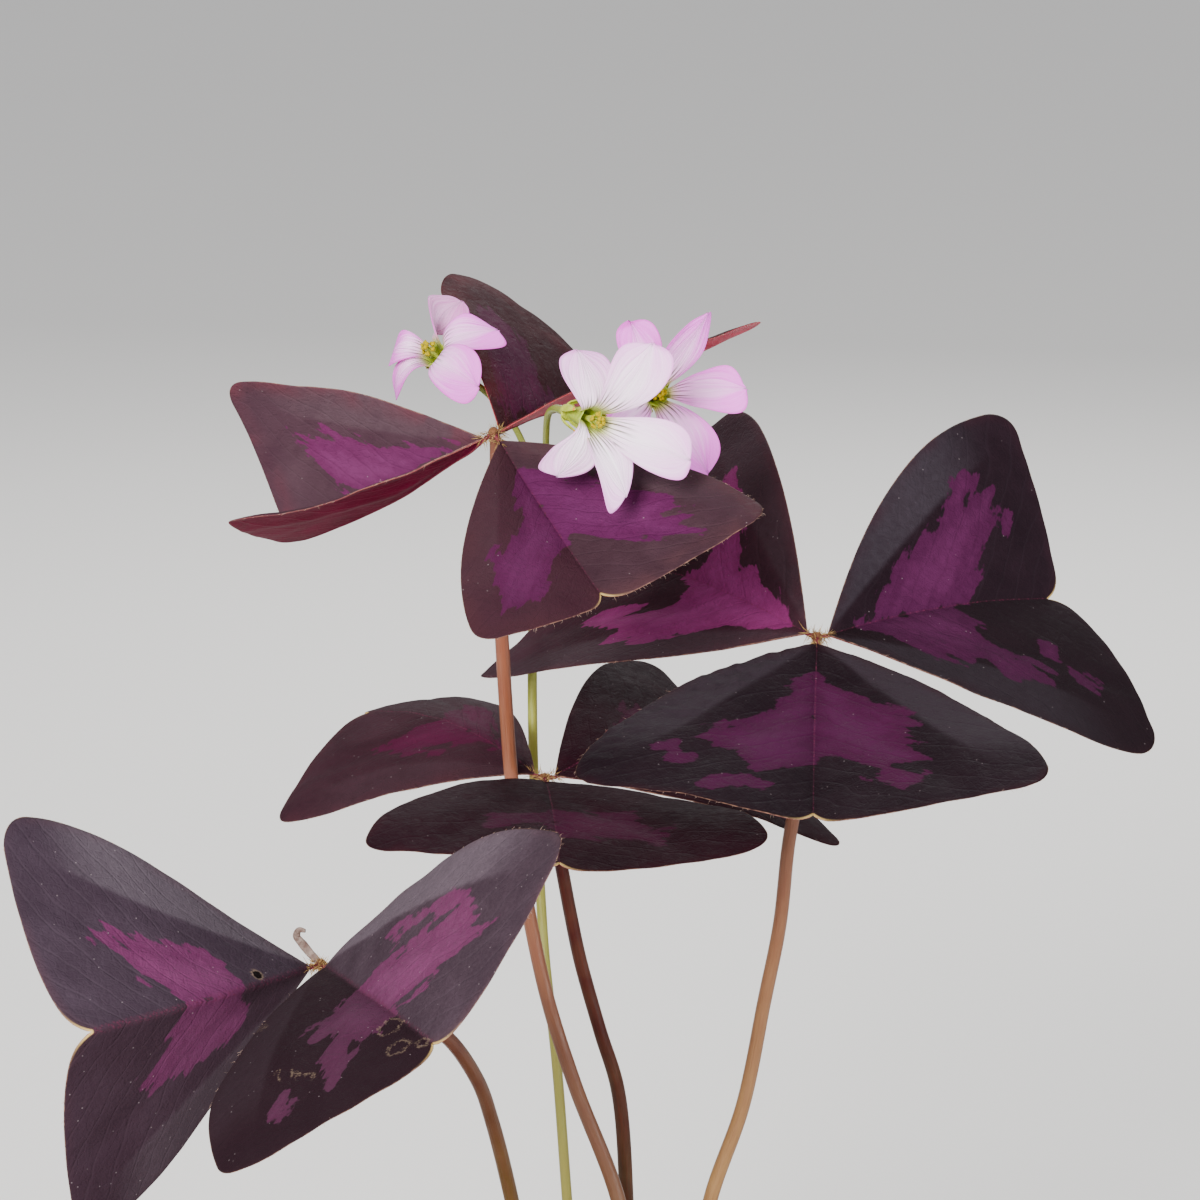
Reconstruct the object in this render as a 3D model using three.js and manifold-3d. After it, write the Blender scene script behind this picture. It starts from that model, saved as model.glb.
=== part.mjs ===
// A purple shamrock (Oxalis triangularis) in a plain pot. Millimetres, +Z up.
// The origin is the middle of the pot's underside and the plant's front faces -Y.
// Four leaves and one flower stalk rise from the soil. Each leaf carries triangular leaflets on a small
// knob, each leaflet folded along its midrib and notched at its end.
import * as THREE from 'three';
import { mergeVertices } from 'three/addons/utils/BufferGeometryUtils.js';
import Module from 'manifold-3d';

const wasm = await Module();
wasm.setup();

// ---- driving dimensions -------------------------------------------------------------------------

const GAP = 0.3; // clearance between pieces that touch

const POT = {
  height: 85,
  rimRadius: 50,
  rimHeight: 15,
  rimStep: 2.5, // how far the rim band stands out of the wall
  baseRadius: 34,
  wall: 3.2,
  floor: 5,
  drainRadius: 3.2,
  drainCircle: 19,
  drainCount: 4,
  drainSides: 16,
  segments: 40,
};
const SOIL = { top: 75, relief: 1.1, rings: 6, segments: 36 };
const STEM = { sink: 12, sides: 8, step: 7, petioleRadius: 1.05, scapeRadius: 0.75, pedicelRadius: 0.45 };
const HUB = { radius: 1.25, bladeStart: 1.65 }; // the knob, and where the blades begin round it
const BLADE = { thickness: 0.64, keel: 0.45, rows: 15, columns: 4, ripple: 0.012 };

// Half of a flat leaflet, in leaflet lengths: the midrib runs up y from (0, 0) to the foot of the notch.
// Four cubic curves follow the side, the rounded corner, the end and the notch back to the midrib.
const OUTLINE = {
  side: [[0.17, 0.19], [0.66, 0.42], [0.775, 0.88]],
  corner: [[0.79, 0.97], [0.75, 1.05], [0.6, 1.065]],
  end: [[0.42, 1.085], [0.22, 1.085], [0.1, 1.05]],
  notch: [[0.05, 1.035], [0.02, 1.01], [0, 0.97]],
  corners: 0.77, // the half's widest x
  midrib: 0.97, // the midrib's length
  midribCrowding: 1.56, // how fast the rows climb the midrib
  creaseEnd: [0.7, 1.03], // the crease from the base towards the corner
};

// One half of a leaflet: its width beside the plain outline's, how many degrees it curls up across its
// width, and how many degrees the band outside the crease bends up.
const half = (width, curl, shoulder) => ({ width, curl, shoulder });

// The leaves. A petiole is a list of points from the soil to the hub. A leaflet's heading is counted
// from +X towards +Y, climb is the slope of its midrib, roll lifts its right half, fold lifts both
// halves, and bend is how far the midrib arches down along its length, all in degrees.
const LEAVES = {
  top: {
    petiole: [
      [7, -2, 75], [5.5, -1, 95], [2.5, 1, 112.8], [-3.4, 4, 128.4], [-7.1, 7, 139.6], [-9.5, 9, 150.5],
      [-11, 10, 160.2], [-12, 9.5, 171.7], [-12.6, 7.2, 183], [-13.1, 4, 197], [-13.6, 0, 220.2],
    ],
    leaflets: {
      left: { heading: 161, climb: -31, roll: 26, fold: 25, bend: -8, length: 31,
        right: half(0.98, 56, -10), left: half(0.68, 64, -8) },
      front: { heading: -59, climb: -30, roll: -19, fold: 18, bend: -12, length: 30,
        right: half(0.73, -26, -8), left: half(0.98, -12, -14) },
      back: { heading: 66, climb: 3, roll: -1, fold: 32, bend: -14, length: 33,
        right: half(0.97, -30, -7), left: half(0.85, 0, 4) },
    },
  },
  right: {
    petiole: [
      [11, 3, 75], [13, 3.5, 96], [15.2, 4, 111.3], [19.6, 5, 125], [22.4, 5.5, 140.2],
      [24.3, 4.8, 151.6], [25.3, 4.6, 163], [26.6, 5, 171], [28.2, 6.4, 180], [28.8, 8, 190.8],
    ],
    leaflets: {
      back: { heading: 134, climb: 4, roll: 43, fold: 6, bend: 50, length: 40,
        right: half(0.95, -24, 14), left: half(0.8, 10, 12) },
      side: { heading: 30, climb: 0, roll: -38, fold: 13, bend: 24, length: 38,
        right: half(0.92, -25, 4), left: half(0.95, 10, -5) },
      front: { heading: -94, climb: -18, roll: 4, fold: 22, bend: -12, length: 39,
        right: half(0.98, -29, -9), left: half(0.96, -7, -10) },
    },
  },
  middle: {
    petiole: [
      [3, 5, 75], [3.9, 6, 94], [3.7, 7, 109.9], [2.5, 8.5, 125.7], [0, 10, 134], [-2.7, 11, 143.9],
      [-4, 11.5, 150.3], [-5.2, 12, 156.9], [-6.5, 12, 163.8], [-7.5, 12, 169.8],
    ],
    leaflets: {
      left: { heading: 148, climb: 8, roll: 7, fold: -10, bend: 52, length: 30,
        right: half(0.96, -12, -11), left: half(1.01, -16, -3) },
      back: { heading: 34, climb: -2, roll: -14, fold: -3, bend: 56, length: 32,
        right: half(1.03, 0, -5), left: half(0.95, 13, -8) },
      front: { heading: -86, climb: -1, roll: 9, fold: 12, bend: 14, length: 33,
        right: half(0.95, -24, -7), left: half(1.03, 11, -9) },
    },
  },
  low: {
    petiole: [
      [-5, -5, 75], [-8.5, -7, 98], [-11.7, -11, 118.4], [-14.1, -16, 132.1], [-15.8, -19, 139],
      [-19.5, -23, 146.6], [-22.8, -25, 149.5], [-27, -27, 152.8], [-31.2, -28.5, 156], [-34.7, -30, 159.2],
    ],
    leaflets: {
      left: { heading: 225, climb: 2, roll: 72, fold: -34, bend: 32, length: 35,
        right: half(1.03, 19, -3), left: half(0.96, 10, -16) },
      front: { heading: -65, climb: 5, roll: -36, fold: 22, bend: 16, length: 37,
        right: half(0.98, -10, -10), left: half(0.97, -3, -9) },
    },
  },
};

// The lowest leaf's third leaflet has withered to a curled stub.
const WITHERED = { path: [[-1.4, 0.8, 1.2], [-2.3, 1.4, 2.1], [-3, 1.6, 3.1], [-2.7, 1.4, 4], [-1.9, 1.1, 4]],
  width: 1.6, thickness: 0.8, sides: 10, steps: 12 };

// The flower stalk, from the soil to the knob of the umbel, and the three pedicels from there.
const STALK = {
  scape: [
    [-2, 9, 75], [-3.4, 10, 92], [-4.6, 11, 108], [-6.1, 15, 127.4], [-7.7, 20.5, 140.2], [-8.4, 25, 149],
    [-9.3, 31.5, 162.2], [-9.6, 35.5, 172], [-9.5, 36.8, 183.9], [-8.7, 30, 197], [-7.7, 19, 206.9],
  ],
  knob: 1.2,
};

// A flower's throat and the way it faces (heading and climb, as for a leaflet), then its petals:
// azimuth where the petal leaves the throat, azimuth of its tip, how far it opens from the flower's
// axis, how far it reaches from the throat, how far its blade twists, and half its width.
const petal = (root, tip, open, reach, twist, halfWidth) => ({ root, tip, open, reach, twist, halfWidth });
const FLOWERS = {
  left: {
    throat: [-22.6, 13.2, 228.7], heading: -137, climb: 38,
    pedicel: [[-7.7, 19, 206.9], [-9.4, 20, 212], [-11.3, 20, 216.4], [-13.4, 19.2, 219.6], [-15.8, 17.8, 222.3]],
    petals: [petal(37, 37, 110, 11, 10, 2.9), petal(109, 109, 100, 10.5, -15, 3), petal(181, 188, 92, 6, 0, 2.6),
      petal(253, 256, 105, 8, 10, 2.2), petal(325, 325, 100, 12, 0, 3.4)],
  },
  middle: {
    throat: [-0.3, -13, 224.5], heading: -58, climb: 1,
    pedicel: [[-7.7, 19, 206.9], [-7.1, 11, 213.9], [-7, 5, 218.8], [-6.6, 0, 222.6], [-5.6, -3, 224.2]],
    petals: [petal(38, 64, 65, 12.3, -30, 3.6), petal(110, 97, 112, 9, 0, 3.4), petal(182, 238, 112, 10, 20, 3),
      petal(254, 272, 59, 12.7, 10, 3), petal(326, 325, 46, 13, 0, 3.4)],
  },
  right: {
    throat: [7.5, 0.5, 225.3], heading: -79, climb: 16,
    pedicel: [[-7.7, 19, 206.9], [-4.7, 15, 213], [-2, 12.4, 217], [1.4, 11.6, 220.2], [4.4, 11, 221.8]],
    petals: [petal(0, -2, 58, 12, 0, 3), petal(72, 60, 66, 13, 50, 3), petal(144, 112, 76, 10.5, 0, 3.3),
      petal(216, 212, 70, 11.5, 0, 3.2), petal(288, 298, 85, 12.5, 0, 3.3)],
  },
};
const PETAL = { thickness: 0.6, claw: 0.6, cup: 0.16, arch: 2.2, rows: 7, columns: 2,
  spread: 2.3, bluntness: 0.45 }; // a later spread widens it nearer the tip, a low bluntness squares the tip
const THROAT = { depth: 7.2, radius: 1.8, wall: 0.55, foot: 0.85, segments: 12 };
const SEPAL = { length: 5, halfWidth: 0.85, thickness: 0.6, cup: 0.2, off: 0.75, count: 5, rows: 5, columns: 1 };
const STAMENS = { columnRadius: 0.4, filamentRadius: 0.2, antherRadius: 0.36, count: 10, ring: 0.6,
  long: 0.7, short: -0.9, root: -5.6 };

// ---- materials ----------------------------------------------------------------------------------

const finish = (color, roughness) => new THREE.MeshStandardMaterial({ color, roughness, metalness: 0 });
const FINISH = {
  terracotta: finish(0xa65f3f, 0.9),
  soil: finish(0x2e2119, 1),
  petiole: finish(0xb97a5e, 0.55),
  stalk: finish(0x93b04a, 0.5),
  leaf: finish(0x4a2442, 0.6),
  withered: finish(0x8a6a58, 0.85),
  petals: finish(0xf3dcf0, 0.6),
  sepals: finish(0x8fa04a, 0.6),
  anthers: finish(0xc9cf3c, 0.7),
};

// ---- solids -------------------------------------------------------------------------------------

const vector = (point) => new THREE.Vector3(...point);
const radians = THREE.MathUtils.degToRad;

// The direction of a heading and a climb.
function direction(heading, climb) {
  const level = Math.cos(radians(climb));
  return new THREE.Vector3(
    Math.cos(radians(heading)) * level,
    Math.sin(radians(heading)) * level,
    Math.sin(radians(climb)),
  );
}

// A geometry with its shared corners merged, its collapsed triangles dropped and nothing but positions.
function weld(geometry) {
  const bare = new THREE.BufferGeometry();
  bare.setAttribute('position', geometry.getAttribute('position'));
  bare.setIndex(geometry.index);
  const merged = mergeVertices(bare, 1e-4);
  const corners = merged.index.array;
  const kept = [];
  for (let i = 0; i < corners.length; i += 3) {
    const [a, b, c] = corners.subarray(i, i + 3);
    if (a !== b && b !== c && c !== a) kept.push(a, b, c);
  }
  merged.setIndex(kept);
  return merged;
}

function toManifold(geometry) {
  const welded = weld(geometry);
  return new wasm.Manifold(new wasm.Mesh({
    numProp: 3,
    vertProperties: new Float32Array(welded.getAttribute('position').array),
    triVerts: new Uint32Array(welded.index.array),
  }));
}

function fromManifold(solid) {
  const mesh = solid.getMesh();
  const geometry = new THREE.BufferGeometry();
  geometry.setAttribute('position', new THREE.BufferAttribute(mesh.vertProperties, 3));
  geometry.setIndex(new THREE.BufferAttribute(mesh.triVerts, 1));
  return geometry;
}

function union(geometries) {
  return fromManifold(geometries.map(toManifold).reduce((whole, piece) => whole.add(piece)));
}

function subtract(body, cutters) {
  return fromManifold(cutters.map(toManifold).reduce((rest, cutter) => rest.subtract(cutter), toManifold(body)));
}

// A regular polygon whose area is close to the circle's.
function roundSection(radius, sides) {
  const section = new THREE.Shape();
  section.absarc(0, 0, radius, 0, 2 * Math.PI);
  return new THREE.Shape(section.getSpacedPoints(sides).slice(0, sides));
}

// A round tube through the points, closed at both ends.
function tube(points, radius, stepLength) {
  const path = new THREE.CatmullRomCurve3(points.map(vector), false, 'centripetal');
  return new THREE.ExtrudeGeometry(roundSection(radius, STEM.sides), {
    steps: Math.ceil(path.getLength() / stepLength),
    extrudePath: path,
  });
}

// A turned solid about the Z axis from (radius, height) points that start and end on the axis.
function turned(profile, segments) {
  const points = profile.map(([radius, height]) => new THREE.Vector2(radius, height));
  return new THREE.LatheGeometry(points, segments).rotateX(Math.PI / 2);
}

function ball(centre, radius) {
  return new THREE.IcosahedronGeometry(radius, 1).translate(...centre);
}

// A thin closed blade. surface(u, v) gives the middle point and its normal, with u from root to tip in
// 0..1 and v across in -1..1. Both faces are split into the same triangles and a strip closes the rim.
// The blade narrows to a point at both ends, and spacing places its rows between them.
function bladeSolid(surface, { rows, columns, thickness, keel = 0, spacing = (u) => u }) {
  const across = 2 * columns + 1;
  const stations = [surface(0, 0)];
  for (let i = 1; i < rows; i += 1) {
    for (let j = 0; j < across; j += 1) stations.push(surface(spacing(i / rows), j / columns - 1));
  }
  stations.push(surface(1, 0));
  const last = stations.length - 1;
  const at = (i, j) => {
    if (i === 0) return 0;
    return i === rows ? last : 1 + (i - 1) * across + j;
  };
  const positions = [];
  for (const face of [1, -1]) {
    stations.forEach(({ point, normal }, station) => {
      const onMidrib = station > 0 && station < last && (station - 1) % across === columns;
      const offset = face > 0 ? thickness / 2 : -thickness / 2 - (onMidrib ? keel : 0);
      positions.push(...point.clone().addScaledVector(normal, offset).toArray());
    });
  }
  const triangles = [];
  const addQuad = (a, b, c, d) => {
    if (a !== b) triangles.push(a, b, c);
    if (c !== d) triangles.push(a, c, d);
  };
  const under = stations.length;
  for (let i = 0; i < rows; i += 1) {
    for (let j = 0; j < across - 1; j += 1) {
      const [a, b, c, d] = [at(i, j), at(i, j + 1), at(i + 1, j + 1), at(i + 1, j)];
      addQuad(a, b, c, d);
      if (a !== b) triangles.push(under + a, under + c, under + b);
      if (c !== d) triangles.push(under + a, under + d, under + c);
    }
    const right = [at(i, across - 1), at(i + 1, across - 1)];
    const left = [at(i + 1, 0), at(i, 0)];
    for (const [from, to] of [right, left]) addQuad(under + from, under + to, to, from);
  }
  const geometry = new THREE.BufferGeometry();
  geometry.setAttribute('position', new THREE.Float32BufferAttribute(positions, 3));
  geometry.setIndex(triangles);
  return geometry;
}

// ---- leaflets -----------------------------------------------------------------------------------

const outline = new THREE.Path();
for (const [first, second, end] of [OUTLINE.side, OUTLINE.corner, OUTLINE.end, OUTLINE.notch]) {
  outline.bezierCurveTo(...first, ...second, ...end);
}

// Length along a straight line that starts at an angle and turns by a rate, in radians per length.
function arc(angle, turn, length) {
  if (Math.abs(turn) < 1e-6) return [length * Math.cos(angle), length * Math.sin(angle)];
  const end = angle + turn * length;
  return [(Math.sin(end) - Math.sin(angle)) / turn, (Math.cos(angle) - Math.cos(end)) / turn];
}

// The flat leaflet's point (x, y) where the folded, curled and bent leaflet has it, from the hub.
function leafletPoint(leaflet, x, y) {
  const side = x < 0 ? leaflet.left : leaflet.right;
  const width = Math.abs(x) * side.width;
  const [sideways, rise] = arc(radians(leaflet.fold), radians(side.curl) / OUTLINE.corners, width);

  // the band outside the crease
  const [creaseX, creaseY] = OUTLINE.creaseEnd;
  const outside = (Math.abs(x) * creaseY - y * creaseX) / Math.hypot(creaseX, creaseY);
  const soft = outside > 0 ? Math.hypot(outside, 0.03) - 0.03 : 0;
  const wave = BLADE.ripple * Math.sin(2 * Math.PI * (1.6 * y + leaflet.heading / 90)) * (x / OUTLINE.corners) ** 2;
  const height = rise + Math.tan(radians(side.shoulder)) * soft + wave;

  // along the arched midrib
  const bend = radians(leaflet.bend);
  const start = radians(leaflet.climb) + bend / 2;
  const [forward, up] = arc(start, -bend, y);
  const slope = start - bend * y;

  const ahead = direction(leaflet.heading, 0);
  const right = new THREE.Vector3(ahead.y, -ahead.x, 0);
  const point = ahead.multiplyScalar(forward - height * Math.sin(slope));
  point.addScaledVector(right, x < 0 ? -sideways : sideways);
  point.z += up + height * Math.cos(slope);
  const midrib = direction(leaflet.heading, leaflet.climb);
  point.applyAxisAngle(midrib, -radians(leaflet.roll));
  return point.multiplyScalar(leaflet.length).addScaledVector(midrib, HUB.bladeStart);
}

function leafletSolid(leaflet) {
  const surface = (u, v) => {
    const edge = outline.getPointAt(u);
    const x = edge.x * v;
    const onMidrib = OUTLINE.midrib * u ** OUTLINE.midribCrowding;
    const y = THREE.MathUtils.lerp(onMidrib, edge.y, Math.abs(v));
    const step = 0.01;
    const along = leafletPoint(leaflet, x, y + step).sub(leafletPoint(leaflet, x, y - step));
    const sideways = leafletPoint(leaflet, x + step, y).sub(leafletPoint(leaflet, x - step, y));
    return { point: leafletPoint(leaflet, x, y), normal: sideways.cross(along).normalize() };
  };
  return bladeSolid(surface, BLADE);
}

// ---- flowers ------------------------------------------------------------------------------------

// A flower's own frame: Z along its axis, out of its face, with the throat at the origin.
function flowerFrame(flower) {
  const axis = direction(flower.heading, flower.climb);
  const first = new THREE.Vector3(0, 0, 1).cross(axis).normalize();
  const second = axis.clone().cross(first);
  return new THREE.Matrix4().makeBasis(first, second, axis).setPosition(...flower.throat);
}

const around = (azimuth, radius, height) => new THREE.Vector3(
  radius * Math.cos(radians(azimuth)),
  radius * Math.sin(radians(azimuth)),
  height,
);

// A petal or sepal: a blade along a curve, halfWidth(u) wide each side, hollow towards the axis.
function bladeAlong(curve, azimuth, halfWidth, cup, twist) {
  return (u, v) => {
    const point = curve.getPoint(u);
    const along = curve.getTangent(u);
    const outward = around(azimuth, 1, 0);
    const wide = outward.cross(new THREE.Vector3(0, 0, 1));
    wide.addScaledVector(along, -wide.dot(along)).normalize();
    wide.applyAxisAngle(along, radians(twist * u));
    const inward = wide.clone().cross(along);
    const width = halfWidth(u);
    point.addScaledVector(wide, width * v).addScaledVector(inward, cup * width * v * v);
    return { point, normal: inward.addScaledVector(wide, -2 * cup * v).normalize() };
  };
}

function petalSolid({ root, tip, open, reach, twist, halfWidth }) {
  const end = around(tip, reach * Math.sin(radians(open)), reach * Math.cos(radians(open)));
  const curve = new THREE.CubicBezierCurve3(
    around(root, THROAT.radius - 0.55, -THROAT.depth * 0.35),
    around(root, THROAT.radius + 0.2, 1),
    end.clone().multiplyScalar(0.55).add(new THREE.Vector3(0, 0, PETAL.arch)),
    end,
  );
  const blade = (u) => Math.sin(Math.PI * u ** PETAL.spread) ** PETAL.bluntness;
  const surface = bladeAlong(curve, tip, (u) => PETAL.claw * (1 - u) + halfWidth * blade(u), PETAL.cup, twist);
  return bladeSolid(surface, { ...PETAL, spacing: (u) => Math.sin((Math.PI / 2) * u) });
}

// The funnel that joins the petals.
function throatSolid() {
  const { depth, radius, wall, foot, segments } = THROAT;
  return turned([
    [0, -depth], [foot, -depth + 0.2], [radius * 0.75, -depth * 0.5], [radius, -1], [radius + 0.3, -0.3],
    [radius - 0.2, -0.2], [radius - wall, -1], [radius * 0.75 - wall, -depth * 0.5],
    [foot - wall + 0.1, -depth + 1], [0, -depth + 0.8],
  ], segments);
}

function corollaSolid(flower) {
  return union([throatSolid(), ...flower.petals.map(petalSolid)]);
}

// The receptacle under the funnel, with five sepals that lie along it.
function calyxSolid(flower) {
  const base = -THROAT.depth - GAP;
  const receptacle = turned([[0, base - 1.2], [0.6, base - 1], [1.1, base - 0.4], [1.2, base], [0, base]], 10);
  const sepals = [];
  for (let k = 0; k < SEPAL.count; k += 1) {
    const azimuth = flower.petals[0].root + 36 + (360 / SEPAL.count) * k;
    const curve = new THREE.CubicBezierCurve3(
      around(azimuth, 0.5, base - 0.7),
      around(azimuth, THROAT.foot + SEPAL.off + 0.5, base - 0.4),
      around(azimuth, THROAT.radius * 0.8 + SEPAL.off, -THROAT.depth * 0.6),
      around(azimuth, THROAT.radius + SEPAL.off, base + SEPAL.length),
    );
    const halfWidth = (u) => SEPAL.halfWidth * Math.sin(Math.PI * (0.12 + 0.88 * u)) ** 0.8;
    const surface = bladeAlong(curve, azimuth, halfWidth, SEPAL.cup, 0);
    sepals.push(bladeSolid(surface, SEPAL));
  }
  return union([receptacle, ...sepals]);
}

// Ten stamens, long and short in turn, round one column.
function stamensSolid() {
  const { columnRadius, filamentRadius, antherRadius, count, ring, long, short, root } = STAMENS;
  const column = turned([[0, root], [columnRadius, root], [columnRadius, short], [0, short + 0.8]], 6);
  const pieces = [column];
  for (let k = 0; k < count; k += 1) {
    const top = k % 2 ? short : long;
    const azimuth = (360 / count) * k;
    const tip = around(azimuth, ring, top);
    const foot = around(azimuth, columnRadius * 0.5, short - 2);
    const length = tip.distanceTo(foot);
    const filament = new THREE.CylinderGeometry(filamentRadius, filamentRadius, length, 3)
      .applyQuaternion(new THREE.Quaternion().setFromUnitVectors(
        new THREE.Vector3(0, 1, 0),
        tip.clone().sub(foot).normalize(),
      ))
      .translate(...tip.clone().add(foot).multiplyScalar(0.5).toArray());
    const anther = new THREE.OctahedronGeometry(antherRadius, 0).translate(...tip.toArray());
    pieces.push(filament, anther);
  }
  return union(pieces);
}

// ---- stems, soil and pot ------------------------------------------------------------------------

// A stem's points with its foot carried straight down into the soil.
const planted = (points) => {
  const [x, y, z] = points[0];
  return [[x, y, z - STEM.sink], ...points];
};

function petioleSolid(leaf) {
  const hub = leaf.petiole.at(-1);
  return union([tube(planted(leaf.petiole), STEM.petioleRadius, STEM.step), ball(hub, HUB.radius)]);
}

function stalkSolid() {
  const knob = ball(STALK.scape.at(-1), STALK.knob);
  const pedicels = Object.values(FLOWERS).map(({ pedicel }) => tube(pedicel, STEM.pedicelRadius, STEM.step / 2));
  return union([tube(planted(STALK.scape), STEM.scapeRadius, STEM.step), knob, ...pedicels]);
}

function witheredSolid() {
  const { path, width, thickness, sides, steps } = WITHERED;
  const section = new THREE.Shape();
  section.absellipse(0, 0, thickness / 2, width / 2, 0, 2 * Math.PI);
  const ribbon = new THREE.CatmullRomCurve3(path.map(vector));
  return new THREE.ExtrudeGeometry(new THREE.Shape(section.getSpacedPoints(sides).slice(0, sides)), {
    steps,
    extrudePath: ribbon,
  });
}

// A straight upright cutter for a round hole.
function drill(x, y, radius, low, high) {
  return new THREE.CylinderGeometry(radius, radius, high - low, POT.drainSides)
    .rotateX(Math.PI / 2)
    .translate(x, y, (low + high) / 2);
}

// The pot's outer wall radius at a height under the rim band.
const outerRadius = (z) => {
  const top = POT.rimRadius - POT.rimStep;
  return THREE.MathUtils.lerp(POT.baseRadius, top, z / (POT.height - POT.rimHeight));
};
const innerRadius = (z) => Math.min(outerRadius(z), POT.rimRadius - POT.rimStep) - POT.wall;

function potSolid() {
  const { height, rimRadius, rimHeight, baseRadius, floor } = POT;
  const rimFoot = height - rimHeight;
  const body = turned([
    [0, 0], [baseRadius - 1, 0], [baseRadius, 1], [outerRadius(rimFoot - 1), rimFoot - 1],
    [rimRadius - 1, rimFoot], [rimRadius, rimFoot + 1], [rimRadius, height - 1.5],
    [rimRadius - 1.5, height], [innerRadius(height) + 1, height], [innerRadius(height), height - 1],
    [innerRadius(rimFoot), rimFoot], [innerRadius(floor), floor], [0, floor],
  ], POT.segments);
  const drains = [];
  for (let k = 0; k < POT.drainCount; k += 1) {
    const angle = (2 * Math.PI * (k + 0.5)) / POT.drainCount;
    const [x, y] = [POT.drainCircle * Math.cos(angle), POT.drainCircle * Math.sin(angle)];
    drains.push(drill(x, y, POT.drainRadius, -1, floor + 1));
  }
  return subtract(body, drains);
}

// Low mounds and dips of the soil's surface.
const soilRelief = (x, y) => SOIL.relief * (0.6 * Math.sin(x * 0.21 + 1) * Math.cos(y * 0.17)
  + 0.4 * Math.sin(x * 0.43 + y * 0.38));

function soilSolid() {
  const { top, rings, segments } = SOIL;
  const bottom = POT.floor + GAP;
  const rimFoot = POT.height - POT.rimHeight;
  const rim = innerRadius(top) - GAP;
  const profile = [[0, bottom], [innerRadius(bottom) - GAP, bottom], [innerRadius(rimFoot) - GAP, rimFoot]];
  for (let ring = rings; ring >= 0; ring -= 1) profile.push([(rim * ring) / rings, top]);
  const mass = turned(profile, segments);
  const position = mass.getAttribute('position');
  for (let i = 0; i < position.count; i += 1) {
    const [x, y, z] = [position.getX(i), position.getY(i), position.getZ(i)];
    if (z > top - 1) position.setZ(i, z + soilRelief(x, y));
  }
  const holes = Object.values(LEAVES).map(({ petiole }) => [petiole[0], STEM.petioleRadius]);
  holes.push([STALK.scape[0], STEM.scapeRadius]);
  return subtract(mass, holes.map(([[x, y, z], radius]) => (
    drill(x, y, radius + GAP + 0.1, z - STEM.sink - GAP, z + 5))));
}

// ---- assembly -----------------------------------------------------------------------------------

const plant = new THREE.Group();

function place(name, geometry, material, parent = plant) {
  const mesh = new THREE.Mesh(geometry, material);
  mesh.name = name;
  parent.add(mesh);
  return mesh;
}

place('pot', potSolid(), FINISH.terracotta);
place('soil', soilSolid(), FINISH.soil);

for (const [leafName, leaf] of Object.entries(LEAVES)) {
  place(`leaf_${leafName}_petiole`, petioleSolid(leaf), FINISH.petiole);
  const hub = new THREE.Group();
  hub.position.set(...leaf.petiole.at(-1));
  plant.add(hub);
  for (const [name, leaflet] of Object.entries(leaf.leaflets)) {
    place(`leaf_${leafName}_leaflet_${name}`, leafletSolid(leaflet), FINISH.leaf, hub);
  }
  if (leafName === 'low') place('leaf_low_withered_leaflet', witheredSolid(), FINISH.withered, hub);
}

place('flower_stalk', stalkSolid(), FINISH.stalk);

for (const [name, flower] of Object.entries(FLOWERS)) {
  const head = new THREE.Group();
  head.applyMatrix4(flowerFrame(flower));
  plant.add(head);
  place(`flower_${name}_calyx`, calyxSolid(flower), FINISH.sepals, head);
  place(`flower_${name}_corolla`, corollaSolid(flower), FINISH.petals, head);
  place(`flower_${name}_stamens`, stamensSolid(), FINISH.anthers, head);
}

export default plant;
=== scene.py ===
"""A purple shamrock (Oxalis triangularis) in a plain clay pot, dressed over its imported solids.

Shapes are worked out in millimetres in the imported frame: the origin is the middle of the pot's
underside, Z points up and the plant's front faces -Y. A mesh is scaled to metres when it is made.
"""

import logging
from dataclasses import dataclass, field
from enum import Enum
from typing import Any, Sequence

import bpy
import numpy as np
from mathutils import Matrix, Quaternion, Vector

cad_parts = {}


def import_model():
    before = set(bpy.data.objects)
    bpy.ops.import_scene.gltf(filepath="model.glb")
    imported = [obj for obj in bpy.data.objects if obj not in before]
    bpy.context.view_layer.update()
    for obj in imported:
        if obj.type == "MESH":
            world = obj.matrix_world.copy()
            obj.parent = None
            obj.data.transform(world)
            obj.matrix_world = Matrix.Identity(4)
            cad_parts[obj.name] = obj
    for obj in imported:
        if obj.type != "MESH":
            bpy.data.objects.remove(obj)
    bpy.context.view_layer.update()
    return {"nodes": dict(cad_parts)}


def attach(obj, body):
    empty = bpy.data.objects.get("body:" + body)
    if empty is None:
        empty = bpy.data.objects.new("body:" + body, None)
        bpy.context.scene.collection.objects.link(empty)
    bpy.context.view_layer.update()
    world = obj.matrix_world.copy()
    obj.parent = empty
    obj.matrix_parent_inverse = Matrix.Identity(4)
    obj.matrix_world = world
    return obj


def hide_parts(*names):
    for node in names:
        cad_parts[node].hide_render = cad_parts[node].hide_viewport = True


LOG = logging.getLogger("shamrock")
Array = np.ndarray
Point = tuple[float, float, float]
Flat = tuple[float, float]
Colour = tuple[int, int, int]
Stop = tuple[float, int, int, int]
METRES = 0.001
TURN = 2 * np.pi
UP = (0, 0, 1.0)


# ---- arithmetic on whole arrays ----


def unit(vectors: Array) -> Array:
    """Vectors scaled to length one along the last axis."""
    return vectors / np.maximum(np.linalg.norm(vectors, axis=-1, keepdims=True), 1e-12)


def direction(heading: float, climb: float) -> Array:
    """The unit vector at a heading from +X towards +Y and a climb above level, both in degrees."""
    h, c = np.radians([heading, climb])
    return np.array([np.cos(h) * np.cos(c), np.sin(h) * np.cos(c), np.sin(c)])


def smoothstep(value: Array, low: float, high: float) -> Array:
    """0 below low, 1 above high and a smooth cubic between them."""
    t = np.clip((value - low) / (high - low), 0, 1)
    return t * t * (3 - 2 * t)


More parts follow.
